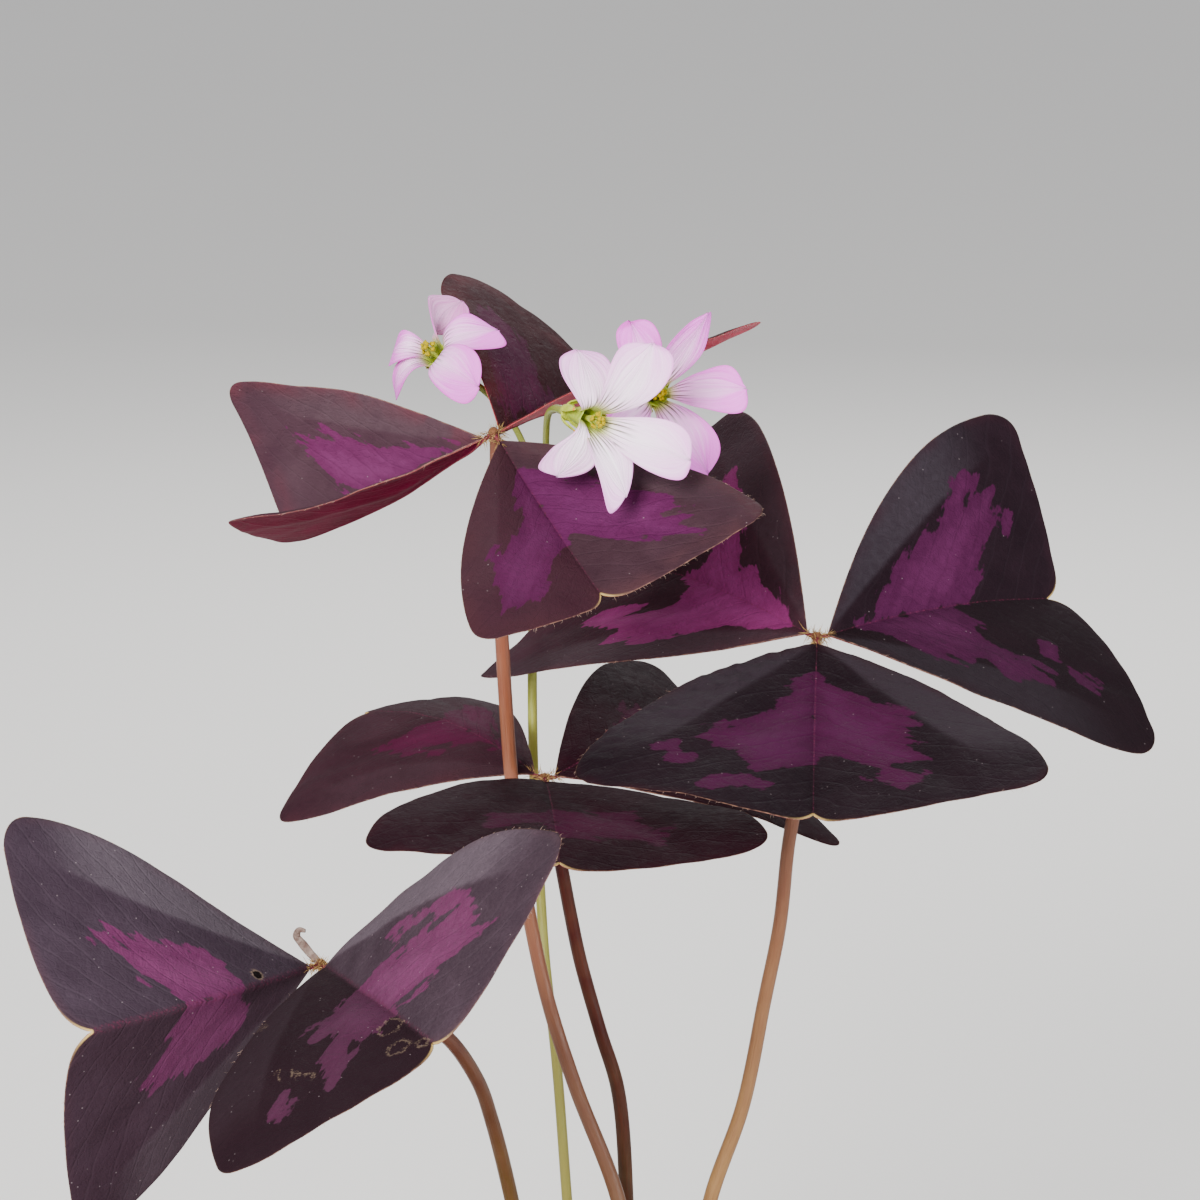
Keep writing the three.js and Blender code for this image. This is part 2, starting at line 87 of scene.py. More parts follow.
def bell(value: Array, width: float) -> Array:
    """1 at zero, falling away on both sides as a Gauss curve of a width."""
    return np.exp(-((value / width) ** 2))


def turn_round(steps: int) -> Array:
    """Angles at even steps once round, without the last."""
    return np.linspace(0, TURN, steps, endpoint=False)


def running(line: Array) -> Array:
    """How far along a polyline each of its points lies."""
    return np.concatenate([[0], np.cumsum(np.linalg.norm(np.diff(line, axis=0), axis=1))])


def arc(angle: Array, turn: float, length: Array) -> tuple[Array, Array]:
    """Where a line ends that starts at an angle and turns at a steady rate.

    It is the integral of (cos, sin) of angle + turn * s for s from 0 to length.

    Args:
        angle: The angle it starts at, in radians.
        turn: The radians it turns for each unit of length.
        length: How long it is.

    Returns:
        The two coordinates of its end.
    """
    rate = turn if abs(turn) > 1e-6 else 1e-6
    end = angle + rate * length
    return (np.sin(end) - np.sin(angle)) / rate, (np.cos(angle) - np.cos(end)) / rate


def turned(points: Array, axis: Array, angle: Array | float) -> Array:
    """Points turned about an axis through the origin, by Rodrigues' formula.

    Args:
        points: The points or vectors, with x, y, z along the last axis.
        axis: A unit vector, or one for each point.
        angle: The angle in radians, or one for each point.

    Returns:
        The turned points.
    """
    angle = np.asarray(angle)[..., None]
    along = np.sum(points * axis, axis=-1, keepdims=True) * axis
    return points * np.cos(angle) + np.cross(axis, points) * np.sin(angle) + along * (1 - np.cos(angle))


def bezier(controls: Sequence[Array], t: Array) -> tuple[Array, Array]:
    """A cubic curve: its four controls weighted by the Bernstein polynomials of t, and its slope.

    Args:
        controls: The four control points.
        t: Where on the curve, 0 to 1.

    Returns:
        The points and the derivative there.
    """
    a, b, c, d = (np.asarray(control, float) for control in controls)
    t = np.asarray(t)[..., None]
    s = 1 - t
    point = s**3 * a + 3 * s * s * t * b + 3 * s * t * t * c + t**3 * d
    slope = 3 * s * s * (b - a) + 6 * s * t * (c - b) + 3 * t * t * (d - c)
    return point, slope


def evenly(line: Array, count: int) -> Array:
    """A count of points at even distances along a polyline, by interpolation on its running length."""
    run = running(line)
    return np.stack([np.interp(np.linspace(0, run[-1], count), run, row) for row in line.T], axis=1)


def drawn(runs: Sequence[Sequence[Flat]], steps: int, count: int) -> Array:
    """A flat line of cubic curves laid end to end, at even distances.

    Args:
        runs: The four controls of each curve; each starts where the one before ends.
        steps: How many points of each curve are worked out.
        count: How many points are wanted.

    Returns:
        The points, one row each.
    """
    t = np.linspace(0, 1, steps)
    first, *others = (bezier([np.array(control) for control in run], t)[0] for run in runs)
    return evenly(np.vstack([first, *(run[1:] for run in others)]), count)


def smooth_path(knots: Sequence[Point], step: float) -> Array:
    """A centripetal Catmull-Rom curve through the knots, at even steps.

    Each span is a cubic Hermite curve, whose end slopes weigh the three nearest chords by the square
    roots of their lengths. Beyond the ends the knots are mirrored.

    Args:
        knots: The points it passes through.
        step: The distance between the points returned.

    Returns:
        The points, one row each.
    """
    given = np.asarray(knots, float)
    line = np.vstack([2 * given[0] - given[1], given, 2 * given[-1] - given[-2]])
    gap = np.linalg.norm(np.diff(line, axis=0), axis=1)[:, None] ** 0.5
    p0, p1, p2, p3 = line[:-3], line[1:-2], line[2:-1], line[3:]
    d0, d1, d2 = gap[:-2], gap[1:-1], gap[2:]
    m1 = ((p1 - p0) / d0 - (p2 - p0) / (d0 + d1) + (p2 - p1) / d1) * d1
    m2 = ((p2 - p1) / d1 - (p3 - p1) / (d1 + d2) + (p3 - p2) / d2) * d1
    t = np.linspace(0, 1, 32, endpoint=False)[None, :, None]
    spans = (
        (2 * t**3 - 3 * t**2 + 1) * p1[:, None]
        + (t**3 - 2 * t**2 + t) * m1[:, None]
        + (3 * t**2 - 2 * t**3) * p2[:, None]
        + (t**3 - t**2) * m2[:, None]
    )
    dense = np.vstack([spans.reshape(-1, 3), given[-1:]])
    return evenly(dense, int(np.ceil(running(dense)[-1] / step)) + 1)


def lattice_noise(points: Array, cell: float, seed: int) -> Array:
    """Smooth noise in -1..1: random values at the corners of a cubic lattice, blended by smoothstep.

    Args:
        points: Where to read it.
        cell: The lattice's spacing, in the points' units.
        seed: Which noise.

    Returns:
        One value for each point.
    """
    size = 32
    table = np.random.default_rng(seed).uniform(-1, 1, (size, size, size))
    scaled = points / cell
    base = np.floor(scaled).astype(int)
    part = scaled - base
    part = part * part * (3 - 2 * part)
    total = np.zeros(points.shape[:-1])
    for corner in np.ndindex(2, 2, 2):
        at = (base + corner) % size
        weight = np.prod(np.where(np.array(corner) == 1, part, 1 - part), axis=-1)
        total += weight * table[at[..., 0], at[..., 1], at[..., 2]]
    return total


def signed_distance(points: Array, outline: Array) -> Array:
    """How far inside a closed outline each point is: positive within, negative without.

    The distance is the least one to any side. A point is inside if a ray to its right crosses an odd
    number of sides.

    Args:
        points: The points, (..., 2).
        outline: The outline's corners, one row each.

    Returns:
        The signed distances.
    """
    a, b = outline, np.roll(outline, -1, axis=0)
    p = points[..., None, :]
    side = b - a
    t = np.clip(np.sum((p - a) * side, -1) / np.maximum(np.sum(side * side, -1), 1e-12), 0, 1)
    distance = np.linalg.norm(p - a - t[..., None] * side, axis=-1).min(-1)
    above = (a[:, 1] > p[..., 1]) != (b[:, 1] > p[..., 1])
    rise = np.where(np.abs(side[:, 1]) < 1e-12, 1e-12, side[:, 1])
    right = p[..., 0] < side[:, 0] * (p[..., 1] - a[:, 1]) / rise + a[:, 0]
    return np.where(np.sum(above & right, -1) % 2 == 1, distance, -distance)


# ---- meshes ----


def grid_quads(index: Array, closed: bool = False) -> Array:
    """The quads between neighbours of a grid of corner numbers, facing (along columns) x (along rows).

    Args:
        index: The corner number at each row and column.
        closed: Whether the last column joins the first.

    Returns:
        One row of four corner numbers for each quad.
    """
    if closed:
        index = np.hstack([index, index[:, :1]])
    corners = [index[:-1, :-1], index[:-1, 1:], index[1:, 1:], index[1:, :-1]]
    return np.stack(corners, axis=-1).reshape(-1, 4)


def capped(rings: int, steps: int) -> list[tuple[Array, int]]:
    """The faces of a closed form of rings, with a fan of triangles at each end.

    Args:
        rings: How many rings it has. Their corners come first, then the two at its ends.
        steps: How many corners a ring has.

    Returns:
        The quads and the triangles, with finish 0.
    """
    index = np.arange(rings * steps).reshape(rings, steps)
    after = np.roll(index, -1, axis=1)
    fans = [
        np.stack([np.full(steps, rings * steps), after[0], index[0]], -1),
        np.stack([np.full(steps, rings * steps + 1), index[-1], after[-1]], -1),
    ]
    return [(grid_quads(index, closed=True), 0), (np.vstack(fans), 0)]


def repeated(faces: Sequence[tuple[Array, int]], count: int, stride: int) -> list[tuple[Array, int]]:
    """The faces of one small form given again for each copy, whose points are a stride further on."""
    shift = (np.arange(count) * stride)[:, None, None]
    return [((rows[None] + shift).reshape(-1, rows.shape[1]), finish) for rows, finish in faces]


@dataclass
class Shell:
    """A closed surface being built.

    Attributes:
        points: Its points in millimetres.
        faces: Rows of three or four corner numbers, each with the number of the finish they take.
        values: Named numbers or vectors on the points, which the finishes read.
    """

    points: Array
    faces: list[tuple[Array, int]]
    values: dict[str, Array] = field(default_factory=dict)

    @staticmethod
    def joined(shells: Sequence["Shell"]) -> "Shell":
        """Several shells as one; a value that a shell hasn't got is zero on it.

        Args:
            shells: The shells, in the order of their points.

        Returns:
            The one shell.
        """
        names = {name: value.shape[1:] for shell in shells for name, value in shell.values.items()}
        faces, start = [], 0
        for shell in shells:
            faces += [(rows + start, finish) for rows, finish in shell.faces]
            start += len(shell.points)
        values = {
            name: np.concatenate(
                [shell.values.get(name, np.zeros((len(shell.points), *shape))) for shell in shells]
            )
            for name, shape in names.items()
        }
        return Shell(np.concatenate([shell.points for shell in shells]), faces, values)

    def finished(self, number: int) -> "Shell":
        """The shell with every face given one finish."""
        self.faces = [(rows, number) for rows, _ in self.faces]
        return self

    def toned(self, tone: float, share: float = 0.0) -> "Shell":
        """The shell with its value tone made one number plus a share of what it was."""
        self.values["tone"] = tone + share * self.values.get("tone", np.zeros(len(self.points)))
        return self

    def piece(self, name: str, finishes: Sequence["Finish"]) -> bpy.types.Object:
        """The shell as a smooth-shaded object at the origin.

        Args:
            name: The object's name.
            finishes: The finishes that its faces number.

        Returns:
            The object, in metres.
        """
        rows = [face for faces, _ in self.faces for face in faces.tolist()]
        slots = np.concatenate([np.full(len(faces), finish) for faces, finish in self.faces])
        mesh = bpy.data.meshes.new(name)
        mesh.from_pydata((self.points * METRES).tolist(), [], rows)
        mesh.polygons.foreach_set("material_index", slots.astype(np.int32))
        mesh.polygons.foreach_set("use_smooth", np.ones(len(rows), bool))
        for key, value in self.values.items():
            kind, slot = ("FLOAT", "value") if value.ndim == 1 else ("FLOAT_VECTOR", "vector")
            attribute = mesh.attributes.new(key, kind, "POINT")
            attribute.data.foreach_set(slot, value.astype(np.float32).ravel())
        for finish in finishes:
            mesh.materials.append(finish.material())
        mesh.update()
        made = bpy.data.objects.new(name, mesh)
        bpy.context.scene.collection.objects.link(made)
        return made


def thin_sheet(middle: Array, normal: Array, half: Array, pinched: tuple[bool, bool]) -> Shell:
    """A thin closed sheet round a grid of middle points.

    Its two faces are middle + normal * half and middle - normal * half. They share the points of the
    grid's border, and a pinched first or last row is one shared point. The front face has finish 0
    and the back face finish 1.

    Args:
        middle: The middle points, (rows, columns, 3).
        normal: The unit normals of the front face.
        half: Half the thickness at each point.
        pinched: Whether the first and the last row are single points.

    Returns:
        The shell, with the value grid, which is the number of each point's middle point.
    """
    rows, columns = middle.shape[:2]
    place = np.arange(rows * columns).reshape(rows, columns)
    for row, single in zip((0, -1), pinched):
        if single:
            place[row] = place[row, 0]
    inner = np.zeros((rows, columns), bool)
    inner[1:-1, 1:-1] = True
    under = place.copy()
    under[inner] = rows * columns + np.arange(inner.sum())
    step = (normal * half[..., None]) * inner[..., None]
    points = np.vstack([(middle + step).reshape(-1, 3), (middle - step)[inner]])
    source = np.concatenate([np.arange(rows * columns), np.arange(rows * columns)[inner.ravel()]])
    faces = []
    for finish, quads in enumerate((grid_quads(place), grid_quads(under))):
        first, last = quads[:, 0] == quads[:, 1], quads[:, 2] == quads[:, 3]
        for chosen, corners in ((~first & ~last, [0, 1, 2, 3]), (first, [0, 2, 3]), (last, [0, 1, 2])):
            faces.append((quads[chosen][:, corners[::-1] if finish else corners], finish))
    used = np.unique(np.concatenate([numbers.ravel() for numbers, _ in faces]))
    renumber = np.zeros(len(points), int)
    renumber[used] = np.arange(len(used))
    faces = [(renumber[numbers], finish) for numbers, finish in faces if len(numbers)]
    return Shell(points[used], faces, {"grid": source[used].astype(float)})


def tube(path: Array, radius: Array, sides: int) -> Shell:
    """A round tube with closed ends: at each path point a ring of radius(s, angle) across the path.

    The rings are laid out from the world axis that the path runs along least. Its value flow is
    (radius * cos, radius * sin, distance along) and its value tone runs from 0 to 1 along it.

    Args:
        path: The centreline.
        radius: One number for each path point, or one for each point of each ring.
        sides: How many points a ring has.

    Returns:
        The tube.
    """
    count = len(path)
    tangent = unit(np.gradient(path, axis=0))
    axis = np.eye(3)[np.abs(tangent).max(0).argmin()]
    across = unit(np.cross(tangent, axis))
    other = np.cross(tangent, across)
    angle = turn_round(sides)
    radius = np.broadcast_to(np.reshape(radius, (count, -1)), (count, sides))
    spoke = across[:, None] * np.cos(angle)[:, None] + other[:, None] * np.sin(angle)[:, None]
    rings = path[:, None] + spoke * radius[..., None]
    run = running(path)
    flow = np.stack([radius * np.cos(angle), radius * np.sin(angle), np.repeat(run[:, None], sides, 1)], -1)
    points = np.vstack([rings.reshape(-1, 3), path[:1], path[-1:]])
    ends = np.array([[0, 0, 0], [0, 0, run[-1]]])
    tone = np.concatenate([np.repeat(run / run[-1], sides), [0, 1]])
    return Shell(points, capped(count, sides), {"flow": np.vstack([flow.reshape(-1, 3), ends]), "tone": tone})


def rounded(profile: Sequence[Flat], radius: float, step: float) -> Array:
    """A profile with its corners rounded and its straight runs divided.

    Each corner gives way to a parabola between the points one radius before and after it, or a third
    of its shorter side where that is less.

    Args:
        profile: The corners, from end to end.
        radius: How far from a corner the rounding starts.
        step: The longest stretch between two points.

    Returns:
        The points of the rounded profile.
    """
    corners = np.asarray(profile, float)
    before, here, after = corners[:-2], corners[1:-1], corners[2:]
    shorter = np.minimum(np.linalg.norm(here - before, axis=1), np.linalg.norm(after - here, axis=1))
    reach = np.minimum(radius, shorter / 3)[:, None]
    start = here + unit(before - here) * reach
    end = here + unit(after - here) * reach
    t = np.linspace(0, 1, 6)[None, :, None]
    bends = (1 - t) ** 2 * start[:, None] + 2 * t * (1 - t) * here[:, None] + t**2 * end[:, None]
    line = np.vstack([corners[:1], bends.reshape(-1, 2), corners[-1:]])
    gap = np.linalg.norm(np.diff(line, axis=0), axis=1)
    parts = np.maximum(1, np.ceil(gap / step)).astype(int)
    base = np.repeat(np.arange(len(gap)), parts)
    share = (np.arange(parts.sum()) - np.repeat(np.cumsum(parts) - parts, parts)) / parts[base]
    between = line[base] + (line[base + 1] - line[base]) * share[:, None]
    return np.vstack([between, line[-1:]])


def revolved(profile: Array, segments: int, relief: Array | float = 0.0) -> Shell:
    """A solid of revolution about Z: each profile point (radius, height) swept round, plus a relief.

    Args:
        profile: The points, outwards and up from the axis and back to it.
        segments: How many steps a turn has.
        relief: What is added to the radius at each profile point and step, or to all.

    Returns:
        The closed shell, with a single point at each end of the profile.
    """
    angle = turn_round(segments)
    radius = (profile[:, :1] + relief + np.zeros(segments))[1:-1]
    height = np.repeat(profile[1:-1, 1:], segments, axis=1)
    rings = np.stack([radius * np.cos(angle), radius * np.sin(angle), height], -1)
    ends = np.array([[0, 0, profile[0, 1]], [0, 0, profile[-1, 1]]])
    return Shell(np.vstack([rings.reshape(-1, 3), ends]), capped(len(profile) - 2, segments))


def pebbles(centres: Array, radii: Array, squash: float, seed: int) -> Shell:
    """Small rough grains: a ball of 6 x 8 points for each centre, turned, stretched and dented.

    Args:
        centres: The middle of each grain, (grains, 3).
        radii: Each grain's radius.
        squash: Its height beside its width.
        seed: Which turns and dents.

    Returns:
        All the grains as one shell.
    """
    rng = np.random.default_rng(seed)
    rings, steps = 4, 8
    polar = np.linspace(np.pi, 0, rings + 2)[1:-1, None]
    around = turn_round(steps)[None]
    ball = np.broadcast_arrays(np.sin(polar) * np.cos(around), np.sin(polar) * np.sin(around), np.cos(polar))
    ball = np.vstack([np.stack(ball, -1).reshape(-1, 3), [[0, 0, -1]], [[0, 0, 1]]])
    count = len(centres)
    stretch = rng.uniform(0.7, 1.3, (count, 1, 3)) * np.array([1, 1, squash])
    dents = rng.uniform(0.75, 1.15, (count, len(ball), 1))
    grains = ball * stretch * dents * radii[:, None, None]
    axis = unit(rng.normal(size=(count, 1, 3)))
    grains = turned(grains, axis, rng.uniform(0, np.pi, (count, 1))) + centres[:, None]
    return Shell(grains.reshape(-1, 3), repeated(capped(rings, steps), count, len(ball)))


def hairs(roots: Array, ways: Array, length: Array, radius: float, droop: float) -> Shell:
    """Short tapering hairs: a three-sided spike of three rings for each root, bent down as it leaves.

    Args:
        roots: Where each hair starts, (hairs, 3).
        ways: The unit direction it starts in.
        length: How long each is.
        radius: Half its width at the root.
        droop: How far its tip sinks, as a share of its length.

    Returns:
        All the hairs as one shell.
    """
    count = len(roots)
    side = unit(np.cross(ways, np.array([0.31, 0.53, 0.79])))
    other = np.cross(ways, side)
    angle = turn_round(3)
    share = np.array([0.0, 0.35, 0.7])
    along = roots[:, None] + ways[:, None] * (length[:, None] * share)[..., None]
    along[..., 2] -= droop * length[:, None] * share**2
    spoke = side[:, None] * np.cos(angle)[:, None] + other[:, None] * np.sin(angle)[:, None]
    rings = along[:, :, None] + spoke[:, None] * (radius * (1 - share))[:, None, None]
    tips = roots + ways * length[:, None]
    tips[:, 2] -= droop * length
    points = np.concatenate([rings.reshape(count, 9, 3), tips[:, None]], axis=1)
    index = np.arange(9).reshape(3, 3)
    point = np.stack([np.full(3, 9), index[-1], np.roll(index[-1], -1)], -1)
    faces = [(grid_quads(index, closed=True), 0), (np.vstack([point, [[2, 1, 0]]]), 0)]
    return Shell(points.reshape(-1, 3), repeated(faces, count, 10))


class Slot(Enum):
    """Names of material slots. The flowers' parts each list one, which nothing reads."""

    TERRACOTTA = "terracotta"
    SOIL = "soil"
    PETIOLE = "petiole"
    STALK = "stalk"
    LEAF = "leaf"
    WITHERED = "withered"
    PETALS = "petals"
    SEPALS = "sepals"
    ANTHERS = "anthers"


def install(piece: bpy.types.Object, nodes: Sequence[str]) -> None:
    """Fixes a piece to the plant's one body, in place of the nodes it stands for, and reports it.

    Args:
        piece: The finished object.
        nodes: The names of the nodes it replaces, if any.
    """
    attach(piece, "root")
    if nodes:
        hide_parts(*nodes)
    LOG.info("%s: %d faces, for %s", piece.name, len(piece.data.polygons), ", ".join(nodes) or "no node")


# ---- node graphs ----


def linear(colour: Colour) -> tuple[float, float, float, float]:
    """A colour given in screen values 0..255, as linear light with full cover."""
    c = np.array(colour) / 255
    light = np.where(c <= 0.04045, c / 12.92, ((c + 0.055) / 1.055) ** 2.4)
    return (*(float(part) for part in light), 1.0)


class Number:
    """What a node puts out, to be reckoned with as a number."""

    def __init__(self, graph: "Graph", socket: bpy.types.NodeSocket) -> None:
        """Takes a socket of a graph."""
        self.graph = graph
        self.socket = socket

    def __add__(self, other: Any) -> "Number":
        """The sum."""
        return self.graph.math("ADD", self, other)

    def __sub__(self, other: Any) -> "Number":
        """The difference."""
        return self.graph.math("SUBTRACT", self, other)

    def __mul__(self, other: Any) -> "Number":
        """The product."""
        return self.graph.math("MULTIPLY", self, other)

    def __truediv__(self, other: Any) -> "Number":
        """The quotient."""
        return self.graph.math("DIVIDE", self, other)

    def __rtruediv__(self, other: Any) -> "Number":
        """Another number divided by this one."""
        return self.graph.math("DIVIDE", other, self)

    def __abs__(self) -> "Number":
        """The size without its sign."""
        return self.graph.math("ABSOLUTE", self)

    def eased(self, low: float, high: float, to: Flat = (0.0, 1.0)) -> "Number":
        """A smooth step from one number to another as this goes from low to high."""
        inputs = {"Value": self, "From Min": low, "From Max": high, "To Min": to[0], "To Max": to[1]}
        return self.graph.node("MapRange", inputs, interpolation_type="SMOOTHSTEP")["Result"]


class Graph:
    """Adds nodes to a node tree and joins them."""

    def __init__(self, tree: bpy.types.NodeTree) -> None:
        """Starts on a tree."""
        self.tree = tree

    def fill(self, made: bpy.types.Node, inputs: dict[Any, Any]) -> dict[Any, Number]:
        """Sets a node's inputs.

        Args:
            made: The node.
            inputs: A number, colour or output for each input, by name or place.

        Returns:
            Its outputs, by name and by place.
        """
        for key, value in inputs.items():
            socket = made.inputs[key]
            if isinstance(value, Number):
                self.tree.links.new(value.socket, socket)
            elif socket.type == "RGBA":
                socket.default_value = linear(value)
            else:
                socket.default_value = value
        outputs = {place: Number(self, socket) for place, socket in enumerate(made.outputs)}
        return {**{given.socket.name: given for given in reversed(outputs.values())}, **outputs}

    def node(self, kind: str, inputs: dict[Any, Any], **settings: Any) -> dict[Any, Number]:
        """A new node.

        Args:
            kind: Its type, without the leading ShaderNode.
            inputs: What fill sets.
            settings: The node's own properties.

        Returns:
            Its outputs, by name and by place.
        """
        made = self.tree.nodes.new("ShaderNode" + kind)
        for key, value in settings.items():
            setattr(made, key, value)
        return self.fill(made, inputs)

    def math(self, operation: str, first: Any, second: Any = 0.0, clamp: bool = False) -> Number:
        """The result of one arithmetic step."""
        return self.node("Math", {0: first, 1: second}, operation=operation, use_clamp=clamp)[0]

    def mix(self, factor: Any, first: Any, second: Any) -> Number:
        """Two colours mixed by a factor."""
        return self.node("Mix", {0: factor, 6: first, 7: second}, data_type="RGBA")[2]

    def scaled(self, vector: Number, by: Any) -> Number:
        """A vector multiplied number by number."""
        return self.node("VectorMath", {0: vector, 1: by}, operation="MULTIPLY")[0]

    def split(self, vector: Number) -> dict[Any, Number]:
        """A vector's three numbers."""
        return self.node("SeparateXYZ", {0: vector})

    def combined(self, x: Any, y: Any, z: Any) -> Number:
        """A vector of three numbers."""
        return self.node("CombineXYZ", {0: x, 1: y, 2: z})[0]

    def noise(self, vector: Number, scale: Any, detail: float = 2.0, warp: float = 0.0) -> Number:
        """Cloudy noise, about 0.5 in the middle."""
        inputs = {"Vector": vector, "Scale": scale, "Detail": detail, "Distortion": warp}
        return self.node("TexNoise", inputs)[0]

    def cells(self, vector: Number, scale: Any, feature: str = "F1") -> dict[Any, Number]:
        """Scattered cells: the distance to the nearest point or edge, and each cell's own colour."""
        return self.node("TexVoronoi", {"Vector": vector, "Scale": scale}, feature=feature)

    def value(self, name: str) -> Number:
        """A number kept on the mesh's points."""
        return self.node("Attribute", {}, attribute_name=name)["Fac"]

    def vector(self, name: str) -> Number:
        """A vector kept on the mesh's points."""
        return self.node("Attribute", {}, attribute_name=name)["Vector"]

    def place(self) -> Number:
        """The point's own place in millimetres."""
        return self.scaled(self.node("TexCoord", {})["Object"], (1 / METRES, 1 / METRES, 1 / METRES))

    def ramp(self, value: Number, stops: Sequence[Stop]) -> Number:
        """A colour that changes along a value.

        Args:
            value: The value, 0 to 1.
            stops: Where each colour stands, and the colour.

        Returns:
            The colour.
        """
        made = self.tree.nodes.new("ShaderNodeValToRGB")
        elements = made.color_ramp.elements
        while len(elements) < len(stops):
            elements.new(0.5)
        for element, (position, *colour) in zip(elements, stops):
            element.position = position
            element.color = linear(colour)
        return self.fill(made, {0: value})["Color"]

    def effect(self, which: "Effect", **inputs: Any) -> dict[Any, Number]:
        """A shared effect placed in this tree.

        Args:
            which: The effect.
            inputs: Its own values here, by name.

        Returns:
            Its outputs, by name and by place.
        """
        made = self.tree.nodes.new("ShaderNodeGroup")
        made.node_tree = which.tree()
        return self.fill(made, inputs)

    def mottle(self, where: Number, size: float, contrast: float = 1.0) -> Number:
        """The drifting tone of the shared mottle."""
        return self.effect(Effect.MOTTLE, Place=where, Size=size, Contrast=contrast)[0]

    def streaks(self, flow: Number, fineness: float, stretch: float) -> Number:
        """The fine lines of the shared streaks."""
        return self.effect(Effect.STREAKS, Flow=flow, Fineness=fineness, Stretch=stretch)[0]

    def bump(self, height: Number) -> Number:
        """A normal from a height in millimetres."""
        return self.node("Bump", {"Height": height, "Strength": 1.0, "Distance": METRES})[0]


class Effect(Enum):
    """The shared effects, each a node group that is made once: its name, and its inputs' usual values."""

    GRAIN = ("fine grain", {"Place": None, "Cell": 0.4})
    MOTTLE = ("mottle", {"Place": None, "Size": 8.0, "Contrast": 1.0})
    STREAKS = ("streaks", {"Flow": None, "Fineness": 3.0, "Stretch": 0.08})
    FLAME = ("flame", {"Flat": None, "Distance": 0.0, "Torn": 0.2})
    VEINS = ("veins", {"Flat": None, "Count": 11.0})
    SPECKS = ("specks", {"Place": None, "Size": 1.2, "Share": 0.2})

    def tree(self) -> bpy.types.NodeTree:
        """The effect's node group, made the first time it is asked for by the method of its name."""
        name, usual = self.value
        found = bpy.data.node_groups.get(name)
        if found:
            return found
        tree = bpy.data.node_groups.new(name, "ShaderNodeTree")
        for key, number in usual.items():
            kind = "NodeSocketVector" if number is None else "NodeSocketFloat"
            socket = tree.interface.new_socket(name=key, in_out="INPUT", socket_type=kind)
            if number is not None:
                socket.default_value = number
        g = Graph(tree)
        build = getattr(self, "_" + self.name.lower())
        results = build(g, g.fill(tree.nodes.new("NodeGroupInput"), {}))
        for key in results:
            tree.interface.new_socket(name=key, in_out="OUTPUT", socket_type="NodeSocketFloat")
        g.fill(tree.nodes.new("NodeGroupOutput"), results)
        return tree

    def _grain(self, g: Graph, given: dict[Any, Number]) -> dict[str, Number]:
        """Rounded cells over finer noise. Cell is the size of a cell in millimetres.

        Args:
            g: The group's graph.
            given: What comes in.

        Returns:
            Height, about 0..1, and Mask, where it is high.
        """
        scale = 1.0 / given["Cell"]
        dome = g.cells(given["Place"], scale)["Distance"].eased(0.75, 0.0)
        height = dome * 0.55 + g.noise(given["Place"], scale, 3.0) * 0.45
        return {"Height": height, "Mask": height.eased(0.3, 0.75)}

    def _mottle(self, g: Graph, given: dict[Any, Number]) -> dict[str, Number]:
        """Slow drifting tone, Factor. Size is the breadth of a patch in millimetres."""
        centred = (g.noise(given["Place"], 1.0 / given["Size"], 4.0, 0.6) - 0.5) * given["Contrast"]
        return {"Factor": g.math("ADD", centred * 2.2, 0.5, clamp=True)}

    def _streaks(self, g: Graph, given: dict[Any, Number]) -> dict[str, Number]:
        """Fine lines along a stem or a petal, Factor: noise drawn out along the flow's third number."""
        long = g.scaled(given["Flow"], g.combined(1.0, 1.0, given["Stretch"]))
        return {"Factor": g.noise(long, given["Fineness"], 3.0).eased(0.3, 0.7)}

    def _flame(self, g: Graph, given: dict[Any, Number]) -> dict[str, Number]:
        """The purple patch: its drawn edge, torn by noise that is drawn out along the side veins.

        Args:
            g: The group's graph.
            given: What comes in.

        Returns:
            Mask, 1 in the patch, and Depth, which grows inwards.
        """
        part = g.split(given["Flat"])
        aside = abs(part[0])
        across = (part[1] - aside * 0.85) + (aside * aside) * 0.2
        long = g.combined(part[0] * 6.0, across * 18.0, part[2])
        torn = (g.noise(long, 1.0, 3.0) - 0.42) * given["Torn"]
        frayed = (g.noise(given["Flat"], 34.0) - 0.5) * 0.045
        depth = (given["Distance"] + torn) + frayed
        return {"Mask": depth.eased(-0.008, 0.004), "Depth": depth.eased(0.0, 0.12)}

    def _veins(self, g: Graph, given: dict[Any, Number]) -> dict[str, Number]:
        """Side veins that leave the midrib obliquely and fork into a net.

        Args:
            g: The group's graph.
            given: What comes in.

        Returns:
            Line, 1 on a vein.
        """
        part = g.split(given["Flat"])
        aside = abs(part[0])
        across = (part[1] - aside * 0.85) + (aside * aside) * 0.35
        drift = g.noise(given["Flat"], 3.0) * 0.16
        wave = abs(g.math("FRACT", (across + drift) * given["Count"]) - 0.5)
        cells = g.cells(g.combined(part[0], across, part[2]), 26.0, "DISTANCE_TO_EDGE")
        net = cells["Distance"].eased(0.09, 0.0)
        return {"Line": g.math("MAXIMUM", wave.eased(0.10, 0.0), net * 0.45)}

    def _specks(self, g: Graph, given: dict[Any, Number]) -> dict[str, Number]:
        """Scattered dots, Mask. Size is a cell's, in millimetres, and Share is how many have one."""
        cells = g.cells(given["Place"], 1.0 / given["Size"])
        lot = g.node("SeparateColor", {0: cells["Color"]})[0]
        return {"Mask": g.math("LESS_THAN", lot, given["Share"]) * cells["Distance"].eased(0.2, 0.1)}


# ---- finishes ----


